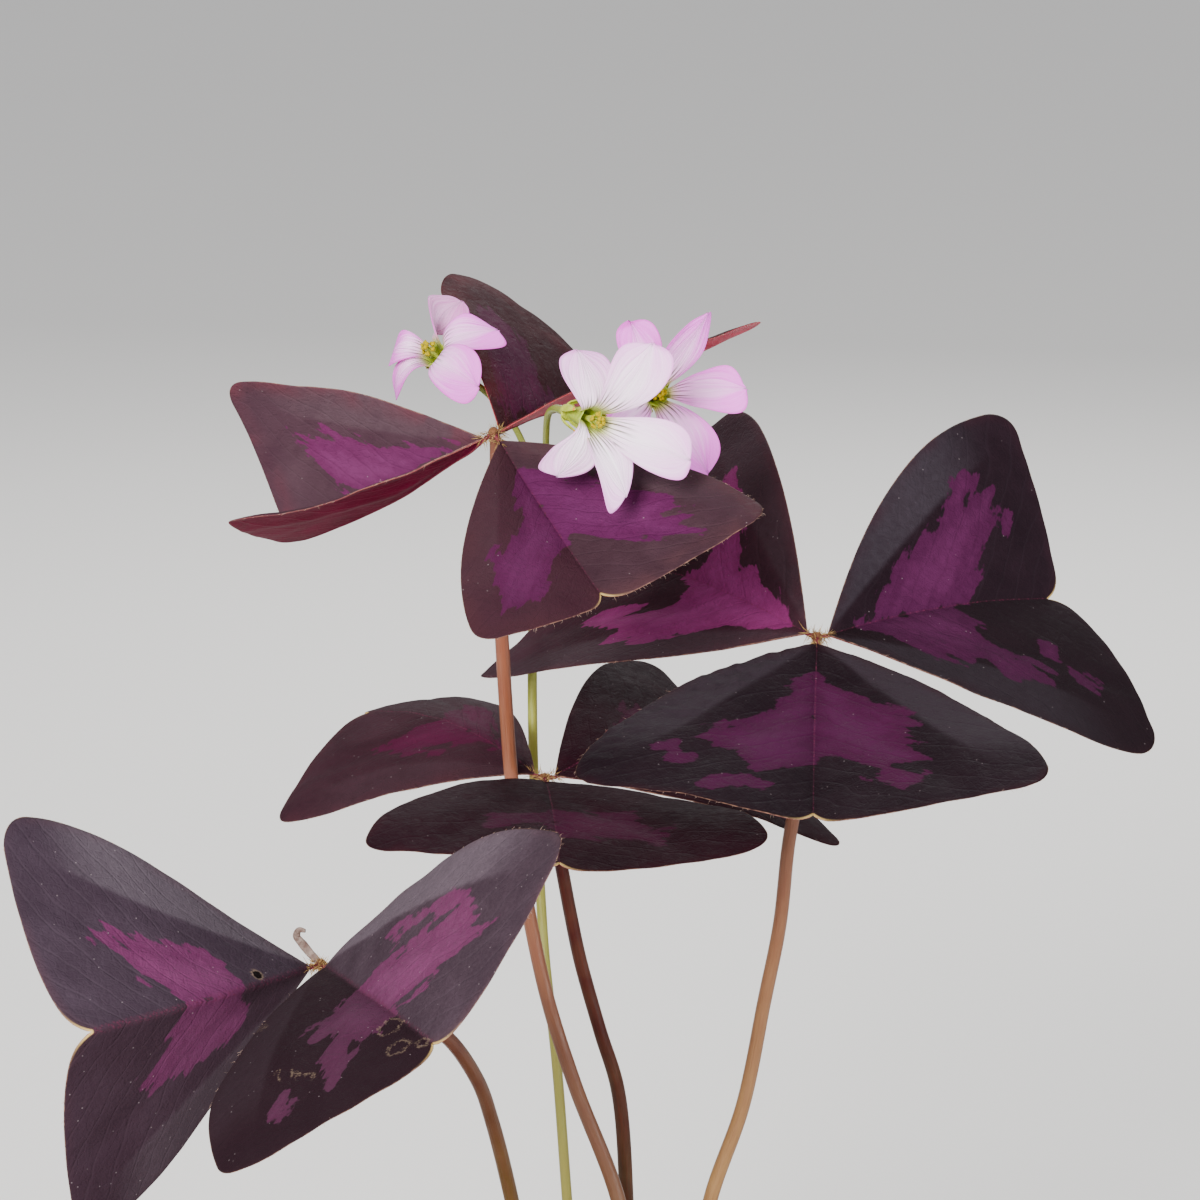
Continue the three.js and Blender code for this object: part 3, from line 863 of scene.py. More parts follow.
@dataclass(frozen=True)
class Finish:
    """What every finish has: a name, and the constants of its shader."""

    name: str
    roughness: float = 0.6
    specular: float = 0.4
    subsurface: float = 0.0

    def material(self) -> bpy.types.Material:
        """The finish as a material, made the first time it is asked for."""
        found = bpy.data.materials.get(self.name)
        if found:
            return found
        made = bpy.data.materials.new(self.name)
        made.use_nodes = True
        shader = made.node_tree.nodes["Principled BSDF"]
        graph = Graph(made.node_tree)
        graph.fill(shader, {
            "Roughness": self.roughness, "Specular IOR Level": self.specular,
            "Subsurface Weight": self.subsurface, "Subsurface Radius": (1.0, 0.6, 0.8),
            "Subsurface Scale": METRES,
        })
        graph.fill(shader, self.paint(graph))
        return made

    def paint(self, g: Graph) -> dict[str, Number]:
        """What goes into the shader's inputs, by input name."""
        raise NotImplementedError

    def varied(self, factor: Number) -> Number:
        """The roughness, a little lower and higher as a factor goes from 0 to 1."""
        return factor.eased(0.0, 1.0, (self.roughness - 0.08, self.roughness + 0.08))


@dataclass(frozen=True, kw_only=True)
class LeafTop(Finish):
    """The dusky upper face of a leaflet with its purple flame and its thin pale margin."""

    roughness: float = 0.72
    specular: float = 0.04
    dark: Colour
    dusk: Colour
    # Painted sheen: the next colour makes the blade paler outside the crease, where light gives it a grey
    # sheen. It also tints the veins a little.
    sheen_and_bloom: Colour
    flame: Colour
    flame_light: Colour
    # Painted backlight: blush reddens the blade near the margin, as light shining through the thin edge from
    # behind; blush_width is how far in it reaches, in millimetres.
    blush: Colour
    blush_width: float = 4.0
    # band is how strong the painted sheen outside the crease is, and with it the painted crease shade.
    band: float = 0.4
    margin: Colour = (150, 112, 92)
    midrib: Colour = (96, 34, 60)
    midrib_width: float = 0.22
    film: float = 0.0
    film_tone: Colour = (128, 116, 124)
    shade: Colour = (40, 22, 30)
    shade_right: float = 0.0
    shade_left: float = 0.0
    dust: float = 0.03
    scar: Colour = (122, 104, 86)
    notch: Colour = (176, 148, 92)
    speck: Colour = (158, 146, 148)
    # Painted shade: hole is the near black of an eaten hole, which is painted, not cut.
    hole: Colour = (12, 6, 6)

    def paint(self, g: Graph) -> dict[str, Number]:
        """Dusk mottle, painted sheen outside the crease and painted shade in a strip just inside it, flame, a
        red blush near the margin as painted backlight, a pale line at the margin, painted shade on one half,
        dust, and eaten holes painted near black as shade.

        Args:
            g: The material's graph.

        Returns:
            The colour, the normal and the roughness.
        """
        place, flat = g.place(), g.vector("flat")
        rim, band, hole = g.value("rim"), g.value("band"), g.value("hole")
        slow, quick = g.mottle(place, 7.0), g.mottle(place, 1.1, 0.8)
        grain = g.effect(Effect.GRAIN, Place=place, Cell=0.34)
        vein = g.effect(Effect.VEINS, Flat=flat, Count=11.0)["Line"]
        flame = g.effect(Effect.FLAME, Flat=flat, Distance=g.value("patch"), Torn=0.2)
        colour = g.mix(slow * 0.7 + quick * 0.3, self.dark, self.dusk)
        # Painted sheen: paler outside the crease, standing in for the grey sheen of light on the blade there.
        outside = band * quick.eased(0.0, 1.0, (0.75, 1.2))
        colour = g.mix(g.math("MULTIPLY", outside, self.band, clamp=True), colour, self.sheen_and_bloom)
        # Painted crease shade: the blade is darkened in a strip just inside the crease.
        colour = g.mix(g.value("strip") * (self.band * 0.4), colour, self.dark)
        colour = g.mix(vein * 0.08, colour, self.sheen_and_bloom)
        patch = g.mix(flame["Depth"] * 0.5 + quick * 0.4, self.flame, self.flame_light)
        patch = g.mix(vein * 0.18, patch, self.flame)
        colour = g.mix(flame["Mask"] * 0.94, colour, patch)
        # Painted backlight: reddened near the margin, as light shining through the thin edge from behind.
        near = (rim / self.blush_width).eased(1.0, 0.0)
        colour = g.mix(near * slow.eased(0.25, 0.75, (0.08, 0.5)), colour, self.blush)
        rib = (g.value("aside") / self.midrib_width).eased(1.0, 0.2)
        colour = g.mix(rib * grain["Mask"].eased(0.0, 1.0, (0.1, 0.6)), colour, self.midrib)
        cover = (band + slow * 0.5).eased(0.1, 1.3, (0.3, 1.0))
        powder = (g.mottle(place, 0.4).eased(0.0, 1.0, (0.5, 1.0)) * cover) * self.film
        colour = g.mix(powder, colour, self.film_tone)
        darker = g.split(flat)[0].eased(-0.02, 0.02, (self.shade_left, self.shade_right))
        colour = g.mix(darker * flame["Mask"].eased(0.0, 1.0, (1.0, 0.55)), colour, self.shade)
        colour = g.mix(rim.eased(0.14, 0.04) * quick.eased(0.25, 0.9, (0.05, 0.6)), colour, self.margin)
        colour = g.mix(g.value("notch") * rim.eased(0.32, 0.1), colour, self.notch)
        specks = g.effect(Effect.SPECKS, Place=place, Size=0.6, Share=self.dust)["Mask"]
        colour = g.mix(specks * 0.3, colour, self.speck)
        crust = g.value("scar") + (g.noise(place, 4.0, 3.0) - 0.5) * 1.6
        colour = g.mix(crust.eased(0.7, 1.15) * 0.42, colour, self.scar)
        # Eaten holes are not cut: each is painted near black, as the shade seen through a hole, inside a ring
        # of the scar colour.
        colour = g.mix(hole.eased(0.02, 0.3) * 0.5, colour, self.scar)
        colour = g.mix(hole.eased(0.35, 0.6), colour, self.hole)
        relief = (grain["Height"] * 0.045 + vein * -0.05) + quick * 0.10
        return {"Base Color": colour, "Normal": g.bump(relief), "Roughness": self.varied(quick)}


@dataclass(frozen=True)
class LeafUnderside(Finish):
    """The crimson underside of a leaflet, with raised veins."""

    deep: Colour = (82, 12, 38)
    bright: Colour = (110, 23, 54)
    vein: Colour = (128, 44, 70)
    margin: Colour = (158, 96, 84)

    def paint(self, g: Graph) -> dict[str, Number]:
        """Crimson mottle with paler veins and a pale margin.

        Args:
            g: The material's graph.

        Returns:
            The colour and the normal.
        """
        place = g.place()
        vein = g.effect(Effect.VEINS, Flat=g.vector("flat"), Count=11.0)["Line"]
        colour = g.mix(g.mottle(place, 5.0), self.deep, self.bright)
        colour = g.mix(vein * 0.4, colour, self.vein)
        colour = g.mix(g.value("aside").eased(0.5, 0.1) * 0.6, colour, self.vein)
        colour = g.mix(g.value("rim").eased(0.16, 0.05) * 0.35, colour, self.margin)
        relief = g.effect(Effect.GRAIN, Place=place, Cell=0.3)["Height"] * 0.03 + vein * 0.06
        return {"Base Color": colour, "Normal": g.bump(relief)}


@dataclass(frozen=True, kw_only=True)
class Stem(Finish):
    """A juicy stem whose colour changes from the soil to its top, with fine lines along it."""

    roughness: float = 0.42
    specular: float = 0.3
    stops: tuple[Stop, ...]
    flush: Colour = (88, 38, 28)
    # On a stem the next colour is a faint pale tone that drifts at random.
    sheen_and_bloom: Colour = (176, 142, 96)

    def paint(self, g: Graph) -> dict[str, Number]:
        """The stops along the tone, streaked and flushed.

        Args:
            g: The material's graph.

        Returns:
            The colour, the normal and the roughness.
        """
        flow = g.vector("flow")
        streak = g.streaks(flow, 3.2, 0.07)
        colour = g.mix(streak * 0.3, g.ramp(g.value("tone"), self.stops), self.flush)
        colour = g.mix(g.mottle(flow, 6.0) * 0.07, colour, self.sheen_and_bloom)
        relief = streak * 0.04 + g.effect(Effect.GRAIN, Place=flow, Cell=0.25)["Height"] * 0.02
        return {"Base Color": colour, "Normal": g.bump(relief), "Roughness": self.varied(streak)}


@dataclass(frozen=True, kw_only=True)
class Tissue(Finish):
    """A small plant part or grain of one tint that drifts to a second, such as hairs or anthers."""

    first: Colour
    second: Colour
    size: float
    grain: float = 0.3
    relief: float = 0.04

    def paint(self, g: Graph) -> dict[str, Number]:
        """The two tints mottled, over a fine grain.

        Args:
            g: The material's graph.

        Returns:
            The colour and the normal.
        """
        place = g.place()
        height = g.effect(Effect.GRAIN, Place=place, Cell=self.grain)["Height"]
        colour = g.mix(g.mottle(place, self.size, 1.2), self.first, self.second)
        return {"Base Color": colour, "Normal": g.bump(height * self.relief)}


@dataclass(frozen=True, kw_only=True)
class Petal(Finish):
    """A satin petal: white towards its middle, pink at its edge, green-veined at its foot."""

    roughness: float = 0.5
    specular: float = 0.2
    subsurface: float = 0.15
    white: Colour = (255, 240, 253)
    pink: Colour = (236, 124, 226)
    deep: Colour = (200, 70, 184)
    foot: Colour = (176, 192, 48)
    vein: Colour = (66, 68, 22)
    pinkness: float = 0.6

    def paint(self, g: Graph) -> dict[str, Number]:
        """Pink by the distance to the edge, veins drawn along the petal, green at the foot.

        Args:
            g: The material's graph.

        Returns:
            The colour and the normal.
        """
        tone, part = g.value("tone"), g.split(g.vector("flow"))
        fan = g.combined(part[0], part[1] * 5.0, tone)
        streak, fine, edge = g.streaks(fan, 1.3, 0.9), g.streaks(fan, 3.6, 0.5), abs(part[1])
        blush = (edge.eased(0.15, 1.0) * 0.45 + streak * 0.35) + tone.eased(0.45, 1.0, (0.0, 0.5))
        blush = g.math("MULTIPLY", blush, self.pinkness, clamp=True)
        colour = g.mix(blush, self.white, self.pink)
        hem = g.math("MAXIMUM", edge.eased(0.93, 1.0), tone.eased(0.955, 1.0))
        colour = g.mix((hem * self.pinkness) * 0.7, colour, self.deep)
        colour = g.mix(fine * (0.08 + 0.14 * self.pinkness), colour, self.deep)
        turns = g.math("FRACT", part[1] * 4.6 + g.noise(fan, 1.6) * 1.1)
        line = abs(turns - 0.5).eased(0.2, 0.06)
        near = tone.eased(0.52, 0.28) * edge.eased(0.98, 0.6)
        colour = g.mix(tone.eased(0.34, 0.1) * 0.9, colour, self.foot)
        colour = g.mix((line * near) * 0.95, colour, self.vein)
        return {"Base Color": colour, "Normal": g.bump(streak * 0.06 + fine * 0.03)}


@dataclass(frozen=True)
class Clay(Finish):
    """Fired clay, slightly chalky, with lime bloom in its pores and darker damp towards its foot."""

    clay: Colour = (158, 92, 66)
    pale: Colour = (182, 122, 92)
    # On the clay the next colour is its lime bloom.
    sheen_and_bloom: Colour = (214, 194, 176)
    damp: Colour = (116, 66, 48)

    def paint(self, g: Graph) -> dict[str, Number]:
        """Mottled clay, damp below, bloom in patches, pits and fine sand.

        Args:
            g: The material's graph.

        Returns:
            The colour, the normal and the roughness.
        """
        place = g.place()
        slow, quick = g.mottle(place, 22.0, 1.2), g.mottle(place, 3.0)
        pits = g.effect(Effect.SPECKS, Place=place, Size=2.6, Share=0.22)["Mask"]
        colour = g.mix((slow + quick) * 0.5, self.clay, self.pale)
        colour = g.mix(g.split(place)[2].eased(34.0, 2.0) * (slow * 0.8), colour, self.damp)
        colour = g.mix((slow.eased(0.55, 0.95) * quick.eased(0.2, 0.8)) * 0.5, colour, self.sheen_and_bloom)
        colour = g.mix(pits * 0.5, colour, self.damp)
        relief = g.effect(Effect.GRAIN, Place=place, Cell=0.7)["Height"] * 0.16 + pits * -0.3
        rough = quick.eased(0.0, 1.0, (0.8, 0.97))
        return {"Base Color": colour, "Normal": g.bump(relief), "Roughness": rough}


@dataclass(frozen=True)
class Earth(Finish):
    """Dark peaty compost."""

    peat: Colour = (46, 33, 25)
    loam: Colour = (78, 58, 44)
    fibre: Colour = (120, 94, 70)

    def paint(self, g: Graph) -> dict[str, Number]:
        """Crumbs of two browns with pale fibres.

        Args:
            g: The material's graph.

        Returns:
            The colour and the normal.
        """
        place = g.place()
        crumbs = g.effect(Effect.GRAIN, Place=place, Cell=1.3)
        sand = g.effect(Effect.GRAIN, Place=place, Cell=0.4)["Height"]
        colour = g.mix((g.mottle(place, 6.0, 1.3) + crumbs["Mask"]) * 0.5, self.peat, self.loam)
        colour = g.mix(g.streaks(place, 0.9, 0.9).eased(0.85, 1.0) * 0.4, colour, self.fibre)
        return {"Base Color": colour, "Normal": g.bump(crumbs["Height"] * 0.5 + sand * 0.25)}


@dataclass(frozen=True)
class Paper(Finish):
    """The studio's pale floor."""

    tone: Colour = (226, 224, 221)
    shadow: Colour = (214, 212, 208)

    def paint(self, g: Graph) -> dict[str, Number]:
        """One pale tone with a faint drift."""
        return {"Base Color": g.mix(g.mottle(g.place(), 400.0, 0.5) * 0.12, self.tone, self.shadow)}


# The undersides are one finish in three shades: the highest leaf's back leaflet gets a brighter crimson as
# painted backlight, and its left leaflet a darker one as painted shade.
LEAF_UNDER = LeafUnderside("leaf underside", 0.5, 0.2)
GLOWING_UNDER = LeafUnderside("leaf underside, highest leaf behind", 0.5, 0.1, deep=(132, 14, 44),
                              bright=(168, 28, 62), vein=(178, 64, 84))
SHADED_UNDER = LeafUnderside("leaf underside, highest leaf", 0.6, 0.1, deep=(68, 0, 24), bright=(86, 2, 36),
                           vein=(98, 16, 46))
HAIR = Tissue("brown hair", 0.7, 0.1, first=(136, 104, 62), second=(182, 150, 96), size=1.0)
FRINGE = Tissue("margin hair", first=(168, 132, 116), second=(206, 178, 160), size=1.0)
PULVINUS = Tissue("pulvinus", 0.65, 0.15, first=(70, 34, 26), second=(108, 72, 44), size=0.7, relief=0.12)
RIB = Tissue("petiolule", 0.6, 0.2, first=(84, 20, 40), second=(112, 42, 50), size=0.9, relief=0.06)
TIP_CALLUS = Tissue("sepal tip", 0.5, first=(196, 96, 36), second=(220, 130, 50), size=0.5)
SEPAL_GREEN = Tissue("sepal green", 0.55, first=(150, 164, 30), second=(184, 194, 62), size=1.2, relief=0.05)
ANTHER = Tissue("anther pollen", 0.8, 0.1, first=(146, 128, 0), second=(172, 154, 0), size=0.3, grain=0.08,
                relief=0.05)
FILAMENT = Tissue("filament", 0.5, first=(160, 170, 50), second=(188, 194, 86), size=0.8)
THROAT = Tissue("throat", 0.5, subsurface=0.1, first=(132, 152, 30), second=(164, 178, 54), size=1.0)
PETAL_FACE = Petal("petal face")
PINK_FACE = Petal("petal face, pinker", pinkness=1.2, white=(246, 204, 241), pink=(228, 108, 218))
PETAL_BACK = Petal("petal back", roughness=0.55, pinkness=1.0, white=(236, 188, 224), pink=(208, 120, 186),
                   foot=(172, 180, 70))
WITHERED_SKIN = Tissue("withered skin", 0.8, 0.1, first=(132, 116, 108), second=(84, 62, 56), size=0.9,
                       relief=0.14)
PERLITE = Tissue("perlite", 0.9, first=(226, 222, 212), second=(196, 190, 178), size=1.0, relief=0.2)
GRIT = Tissue("grit", 0.85, first=(66, 48, 36), second=(104, 80, 60), size=2.0, relief=0.3)
CLAY = Clay("fired clay", 0.9, 0.25)
COMPOST = Earth("compost", 0.95, 0.2)
SCAPE_GREEN = Stem("scape green", flush=(142, 130, 66), stops=(
    (0.0, 132, 122, 60), (0.4, 132, 130, 54), (0.85, 122, 132, 44), (1.0, 108, 122, 40)))


# ---- the pot and its soil ----


@dataclass
class Pot:
    """A thrown clay pot with a rim band and drain holes. Sizes in millimetres."""

    height: float = 85.0
    rim_radius: float = 50.0
    rim_height: float = 15.0
    rim_step: float = 2.5
    base_radius: float = 34.0
    wall: float = 3.2
    floor: float = 5.0
    drain_radius: float = 3.2
    drain_circle: float = 19.0
    drain_count: int = 4
    segments: int = 180

    def outer(self, z: float) -> float:
        """The wall's outer radius at a height below the rim band."""
        top = self.rim_radius - self.rim_step
        return self.base_radius + (top - self.base_radius) * z / (self.height - self.rim_height)

    def inner(self, z: float) -> float:
        """The wall's inner radius at a height."""
        return min(self.outer(z), self.rim_radius - self.rim_step) - self.wall

    def profile(self) -> Array:
        """The rounded section, from the middle of the underside over the rim to the middle of the floor.

        Returns:
            Its points, (radius, height).
        """
        foot, top = self.height - self.rim_height, self.height
        corners = [
            (0, 0), (self.base_radius, 0), (self.outer(foot - 1), foot - 1), (self.rim_radius, foot),
            (self.rim_radius, top), (self.inner(top), top), (self.inner(foot), foot),
            (self.inner(self.floor), self.floor), (0, self.floor),
        ]
        return rounded(corners, 1.5, 1.6)

    def body(self) -> bpy.types.Object:
        """The turned wall and floor, its radius rippled by the potter's fingers: a sine of the height.

        Returns:
            The pot, before its drain holes are cut.
        """
        profile = self.profile()
        angle = turn_round(self.segments)[None]
        z, reach = profile[:, 1:], smoothstep(profile[:, :1], 20, 34)
        rings = 0.1 * np.sin(z * 1.9 + 0.6 * np.sin(angle)) + 0.07 * np.sin(z * 0.7 + 2 * angle)
        return revolved(profile, self.segments, -np.abs(rings) * reach).piece("clay_pot", [CLAY])

    def drain(self, number: int) -> bpy.types.Object:
        """A cutter for one drain hole.

        Args:
            number: Which hole.

        Returns:
            A round peg through the floor.
        """
        angle = TURN * (number + 0.5) / self.drain_count
        x, y = self.drain_circle * np.cos(angle), self.drain_circle * np.sin(angle)
        path = np.array([[x, y, z] for z in (-2.0, 2.5, self.floor + 2)])
        return tube(path, np.full(3, self.drain_radius), 40).piece("drain_cutter", [CLAY])

    def build(self) -> None:
        """Makes the pot and cuts its drain holes."""
        pot = self.body()
        cutters = [self.drain(number) for number in range(self.drain_count)]
        for cutter in cutters:
            cut = pot.modifiers.new("drain", "BOOLEAN")
            cut.operation, cut.solver, cut.object = "DIFFERENCE", "EXACT", cutter
        graph = bpy.context.evaluated_depsgraph_get()
        cut_mesh = bpy.data.meshes.new_from_object(pot.evaluated_get(graph), depsgraph=graph)
        pot.modifiers.clear()
        pot.data = cut_mesh
        cut_mesh.materials.clear()
        cut_mesh.materials.append(CLAY.material())
        cut_mesh.polygons.foreach_set("material_index", np.zeros(len(cut_mesh.polygons), np.int32))
        for cutter in cutters:
            bpy.data.objects.remove(cutter)
        install(pot, ["pot"])


@dataclass
class Soil:
    """The compost that fills the pot and holds the stems, with crumbs, grit and perlite on it."""

    pot: Pot
    top: float = 75.0
    relief: float = 1.1
    gap: float = 0.3
    segments: int = 150
    crumb_count: int = 420
    perlite_count: int = 46

    def heights(self, x: Array, y: Array) -> Array:
        """The surface: slow sines of x and y, plus small noise crumbs.

        Args:
            x: Where across.
            y: Where back.

        Returns:
            The height there.
        """
        slow = 0.6 * np.sin(x * 0.21 + 1) * np.cos(y * 0.17) + 0.4 * np.sin(x * 0.43 + y * 0.38)
        where = np.stack([x, y, np.zeros_like(x)], -1)
        crumbs = 0.45 * lattice_noise(where, 2.2, 3) + 0.3 * lattice_noise(where, 1.0, 4)
        return self.top + self.relief * slow + crumbs

    def mass(self) -> Shell:
        """The filled body: the pot's inside less a gap, with rings of points over its top.

        Returns:
            The closed shell.
        """
        pot, low = self.pot, self.pot.floor + self.gap
        foot, rim = pot.height - pot.rim_height, pot.inner(self.top) - self.gap
        wall = [(0.0, low), (pot.inner(low) - self.gap, low), (pot.inner(foot) - self.gap, foot)]
        rings = [(float(r), self.top) for r in np.linspace(rim, 0, 56)]
        shell = revolved(np.array(wall + rings), self.segments)
        x, y, z = shell.points.T
        edge = 1 - smoothstep(np.hypot(x, y), rim - 1.5, rim)
        lifted = self.top - 0.4 + (self.heights(x, y) - self.top + 0.4) * edge
        shell.points[:, 2] = np.where(z > self.top - 0.5, lifted, z)
        return shell

    def scatter(self, count: int, sizes: Flat, seed: int) -> tuple[Array, Array]:
        """Places and sizes for grains that rest on the surface, spread evenly over its disc.

        Args:
            count: How many grains.
            sizes: The least and the greatest radius.
            seed: Which spread.

        Returns:
            Their middles and their radii.
        """
        rng = np.random.default_rng(seed)
        away = (self.pot.inner(self.top) - 2.5) * np.sqrt(rng.uniform(0, 1, count))
        angle = rng.uniform(0, TURN, count)
        size = sizes[0] + (sizes[1] - sizes[0]) * rng.uniform(0, 1, count) ** 2.5
        x, y = away * np.cos(angle), away * np.sin(angle)
        return np.stack([x, y, self.heights(x, y) + 0.3 * size], -1), size

    def build(self) -> None:
        """Makes the mass with its crumbs, and the perlite."""
        crumbs = pebbles(*self.scatter(self.crumb_count, (0.5, 1.9), 11), 0.8, 12).finished(1)
        install(Shell.joined([self.mass(), crumbs]).piece("compost", [COMPOST, GRIT]), ["soil"])
        perlite = pebbles(*self.scatter(self.perlite_count, (0.6, 1.6), 21), 0.85, 22)
        install(perlite.piece("perlite", [PERLITE]), [])


# ---- leaves ----


@dataclass(frozen=True)
class Half:
    """One half of a leaflet: its width beside the plain outline's, its curl across and its shoulder."""

    width: float
    curl: float
    shoulder: float


@dataclass(frozen=True)
class Markings:
    """What is drawn on a leaflet, in flat leaflet coordinates.

    Attributes:
        patches: The closed outlines of the purple flame, in hundredths: x, y, x, y and so on.
        dashes: Short separate streaks, each (x, y, x, y, half width).
        scars: Round healed spots, each (x, y, radius).
        holes: Small eaten spots, each (x, y, radius).
    """

    patches: tuple[tuple[int, ...], ...]
    dashes: tuple[tuple[float, float, float, float, float], ...] = ()
    scars: tuple[Point, ...] = ()
    holes: tuple[Point, ...] = ()

    def flame(self, at: Array) -> Array:
        """How far inside the flame each flat point is, negative outside.

        Args:
            at: The flat points, (..., 2).

        Returns:
            The greatest of the distances to its patches and dashes.
        """
        best = np.full(at.shape[:-1], -1.0)
        for patch in self.patches:
            best = np.maximum(best, signed_distance(at, np.reshape(patch, (-1, 2)) / 100))
        for x0, y0, x1, y1, half in self.dashes:
            start, side = np.array([x0, y0]), np.array([x1 - x0, y1 - y0])
            t = np.clip((at - start) @ side / (side @ side), 0, 1)[..., None]
            best = np.maximum(best, half - np.linalg.norm(at - start - t * side, axis=-1))
        return best

    def eaten(self, at: Array) -> Array:
        """1 within an eaten spot, easing to 0 around it.

        Args:
            at: The flat points, (..., 2).

        Returns:
            One number for each.
        """
        found = np.zeros(at.shape[:-1])
        for x, y, radius in self.holes:
            away = np.linalg.norm(at - (x, y), axis=-1)
            found = np.maximum(found, 1 - smoothstep(away, 0.5 * radius, 1.5 * radius))
        return found

    def scarred(self, at: Array) -> Array:
        """1 on the uneven ring of a healed spot, falling to 0 within and around it.

        Args:
            at: The flat points, (..., 2).

        Returns:
            One number for each.
        """
        found = np.zeros(at.shape[:-1])
        for x, y, radius in self.scars:
            apart = at - (x, y)
            angle = np.arctan2(apart[..., 1], apart[..., 0])
            ring = radius * (1 + 0.22 * np.sin(2 * angle + 9 * x) + 0.12 * np.sin(5 * angle + 7 * y))
            away = np.abs(np.linalg.norm(apart, axis=-1) - ring)
            found = np.maximum(found, 1 - smoothstep(away, 0.003, 0.02))
        return found


@dataclass(frozen=True)
class Leaflet:
    """One folded, curled and arched leaflet, in its leaf's hub frame.

    Its flat outline is drawn in leaflet lengths. Angles are in degrees and thicknesses in millimetres.

    Attributes:
        heading: Which way its midrib runs, from +X towards +Y.
        climb: How far the midrib rises above level.
        roll: How far the blade is turned about the midrib.
        fold: How far each half rises from the midrib.
        bend: How far the midrib arches down over its length.
        length: The midrib's length in millimetres.
        right: The half on the right, seen from the base along the upper face.
        left: The other half.
        marks: What is drawn on it.
        face: The finish of its upper face.
        crinkle: How high the small bubbles outside the crease are.
        under: The finish of its underside.
    """

    name: str
    heading: float
    climb: float
    roll: float
    fold: float
    bend: float
    length: float
    right: Half
    left: Half
    marks: Markings
    face: LeafTop
    crinkle: float = 0.0
    under: LeafUnderside = LEAF_UNDER

    SIDE = ((0.0, 0.0), (0.205, 0.16), (0.7, 0.5), (0.785, 0.93))
    CORNER = ((0.785, 0.93), (0.797, 0.99), (0.765, 1.055), (0.68, 1.065))
    END = ((0.68, 1.065), (0.46, 1.085), (0.22, 1.085), (0.1, 1.05))
    NOTCH = ((0.1, 1.05), (0.05, 1.035), (0.02, 1.01), (0.0, 0.97))
    CORNERS = 0.77
    MIDRIB = 0.97
    CROWDING = 1.56
    CREASE = (0.7, 1.03)
    HUB_OFFSET = 1.65
    RIPPLE = 0.012
    ROWS = 110
    COLUMNS = 44
    HALF_THICKNESS = 0.15
    HAIRS = 150
    SLOPE_STEP = 0.004

    @classmethod
    def outline(cls, count: int) -> Array:
        """The flat half outline at even distances, from the base round to the notch."""
        return drawn((cls.SIDE, cls.CORNER, cls.END, cls.NOTCH), 160, count)

    def grid(self) -> tuple[Array, Array]:
        """The flat places of the grid: rows from the midrib out to the outline, crowded at both.

        x is the outline's x times v, and y runs from the midrib's to the outline's as |v| goes to 1.

        Returns:
            x and y at each row and column.
        """
        edge = self.outline(self.ROWS + 1)
        u = np.linspace(0, 1, self.ROWS + 1)
        s = np.linspace(-1, 1, 2 * self.COLUMNS + 1)
        v = np.sign(s) * (0.45 * np.abs(s) + 0.55 * (1 - np.cos(np.pi * s)) / 2)
        midrib = self.MIDRIB * u**self.CROWDING
        x = edge[:, :1] * v
        y = midrib[:, None] + (edge[:, 1:] - midrib[:, None]) * np.abs(v)
        return x, y

    def outside(self, x: Array, y: Array) -> Array:
        """How far a flat point lies outside the crease that runs from the base towards the corner."""
        cx, cy = self.CREASE
        return (np.abs(x) * cy - y * cx) / np.hypot(cx, cy)

    def relief(self, x: Array, y: Array) -> Array:
        """Small forms across the blade, in leaflet lengths.

        A soft valley runs from the lower midrib towards the end of each half, the side veins lift
        the blade between them a little, the midrib is a narrow groove, and noise loosens it all.

        Args:
            x: Sideways, in leaflet lengths.
            y: Along the midrib.

        Returns:
            The height of the small forms.
        """
        aside = np.abs(x)
        valley = (y - 0.25) - 1.5 * aside
        reach = smoothstep(aside, 0.03, 0.15) * (1 - smoothstep(aside, 0.4, 0.62))
        dip = -0.010 * bell(valley, 0.09) * reach
        across = y - 0.85 * aside + 0.35 * aside**2
        pillow = 0.0005 * np.abs(np.sin(np.pi * 11 * (across + 0.01 * np.sin(9 * x))))
        pillow = pillow * smoothstep(aside, 0.0, 0.12)
        groove = -0.0022 * bell(aside, 0.012)
        where = np.stack([x, y, np.full_like(x, self.heading / 37)], -1)
        loose = 0.006 * lattice_noise(where, 0.22, 5) + 0.0035 * lattice_noise(where, 0.09, 6)
        bubbly = np.where(x > 0, 1.0, 0.35) * smoothstep(self.outside(x, y), 0.0, 0.04) * self.crinkle
        bubbles = bubbly * lattice_noise(where, 0.035, 7)
        fade = smoothstep(y, 0.0, 0.12)
        forms = dip + pillow * fade + groove + loose * fade + bubbles
        return forms * (1 - smoothstep(aside, 0.74, 0.775) * 0.5)

    def normals(self, x: Array, y: Array) -> Array:
        """The unit normals of the plain blade: the cross product of its slopes sideways and along.

        Args:
            x: Sideways, in leaflet lengths.
            y: Along the midrib.

        Returns:
            The normals of the upper face.
        """
        step = self.SLOPE_STEP
        along = self.shape(x, y + step, False) - self.shape(x, y - step, False)
        sideways = self.shape(x + step, y, False) - self.shape(x - step, y, False)
        return unit(np.cross(sideways, along))

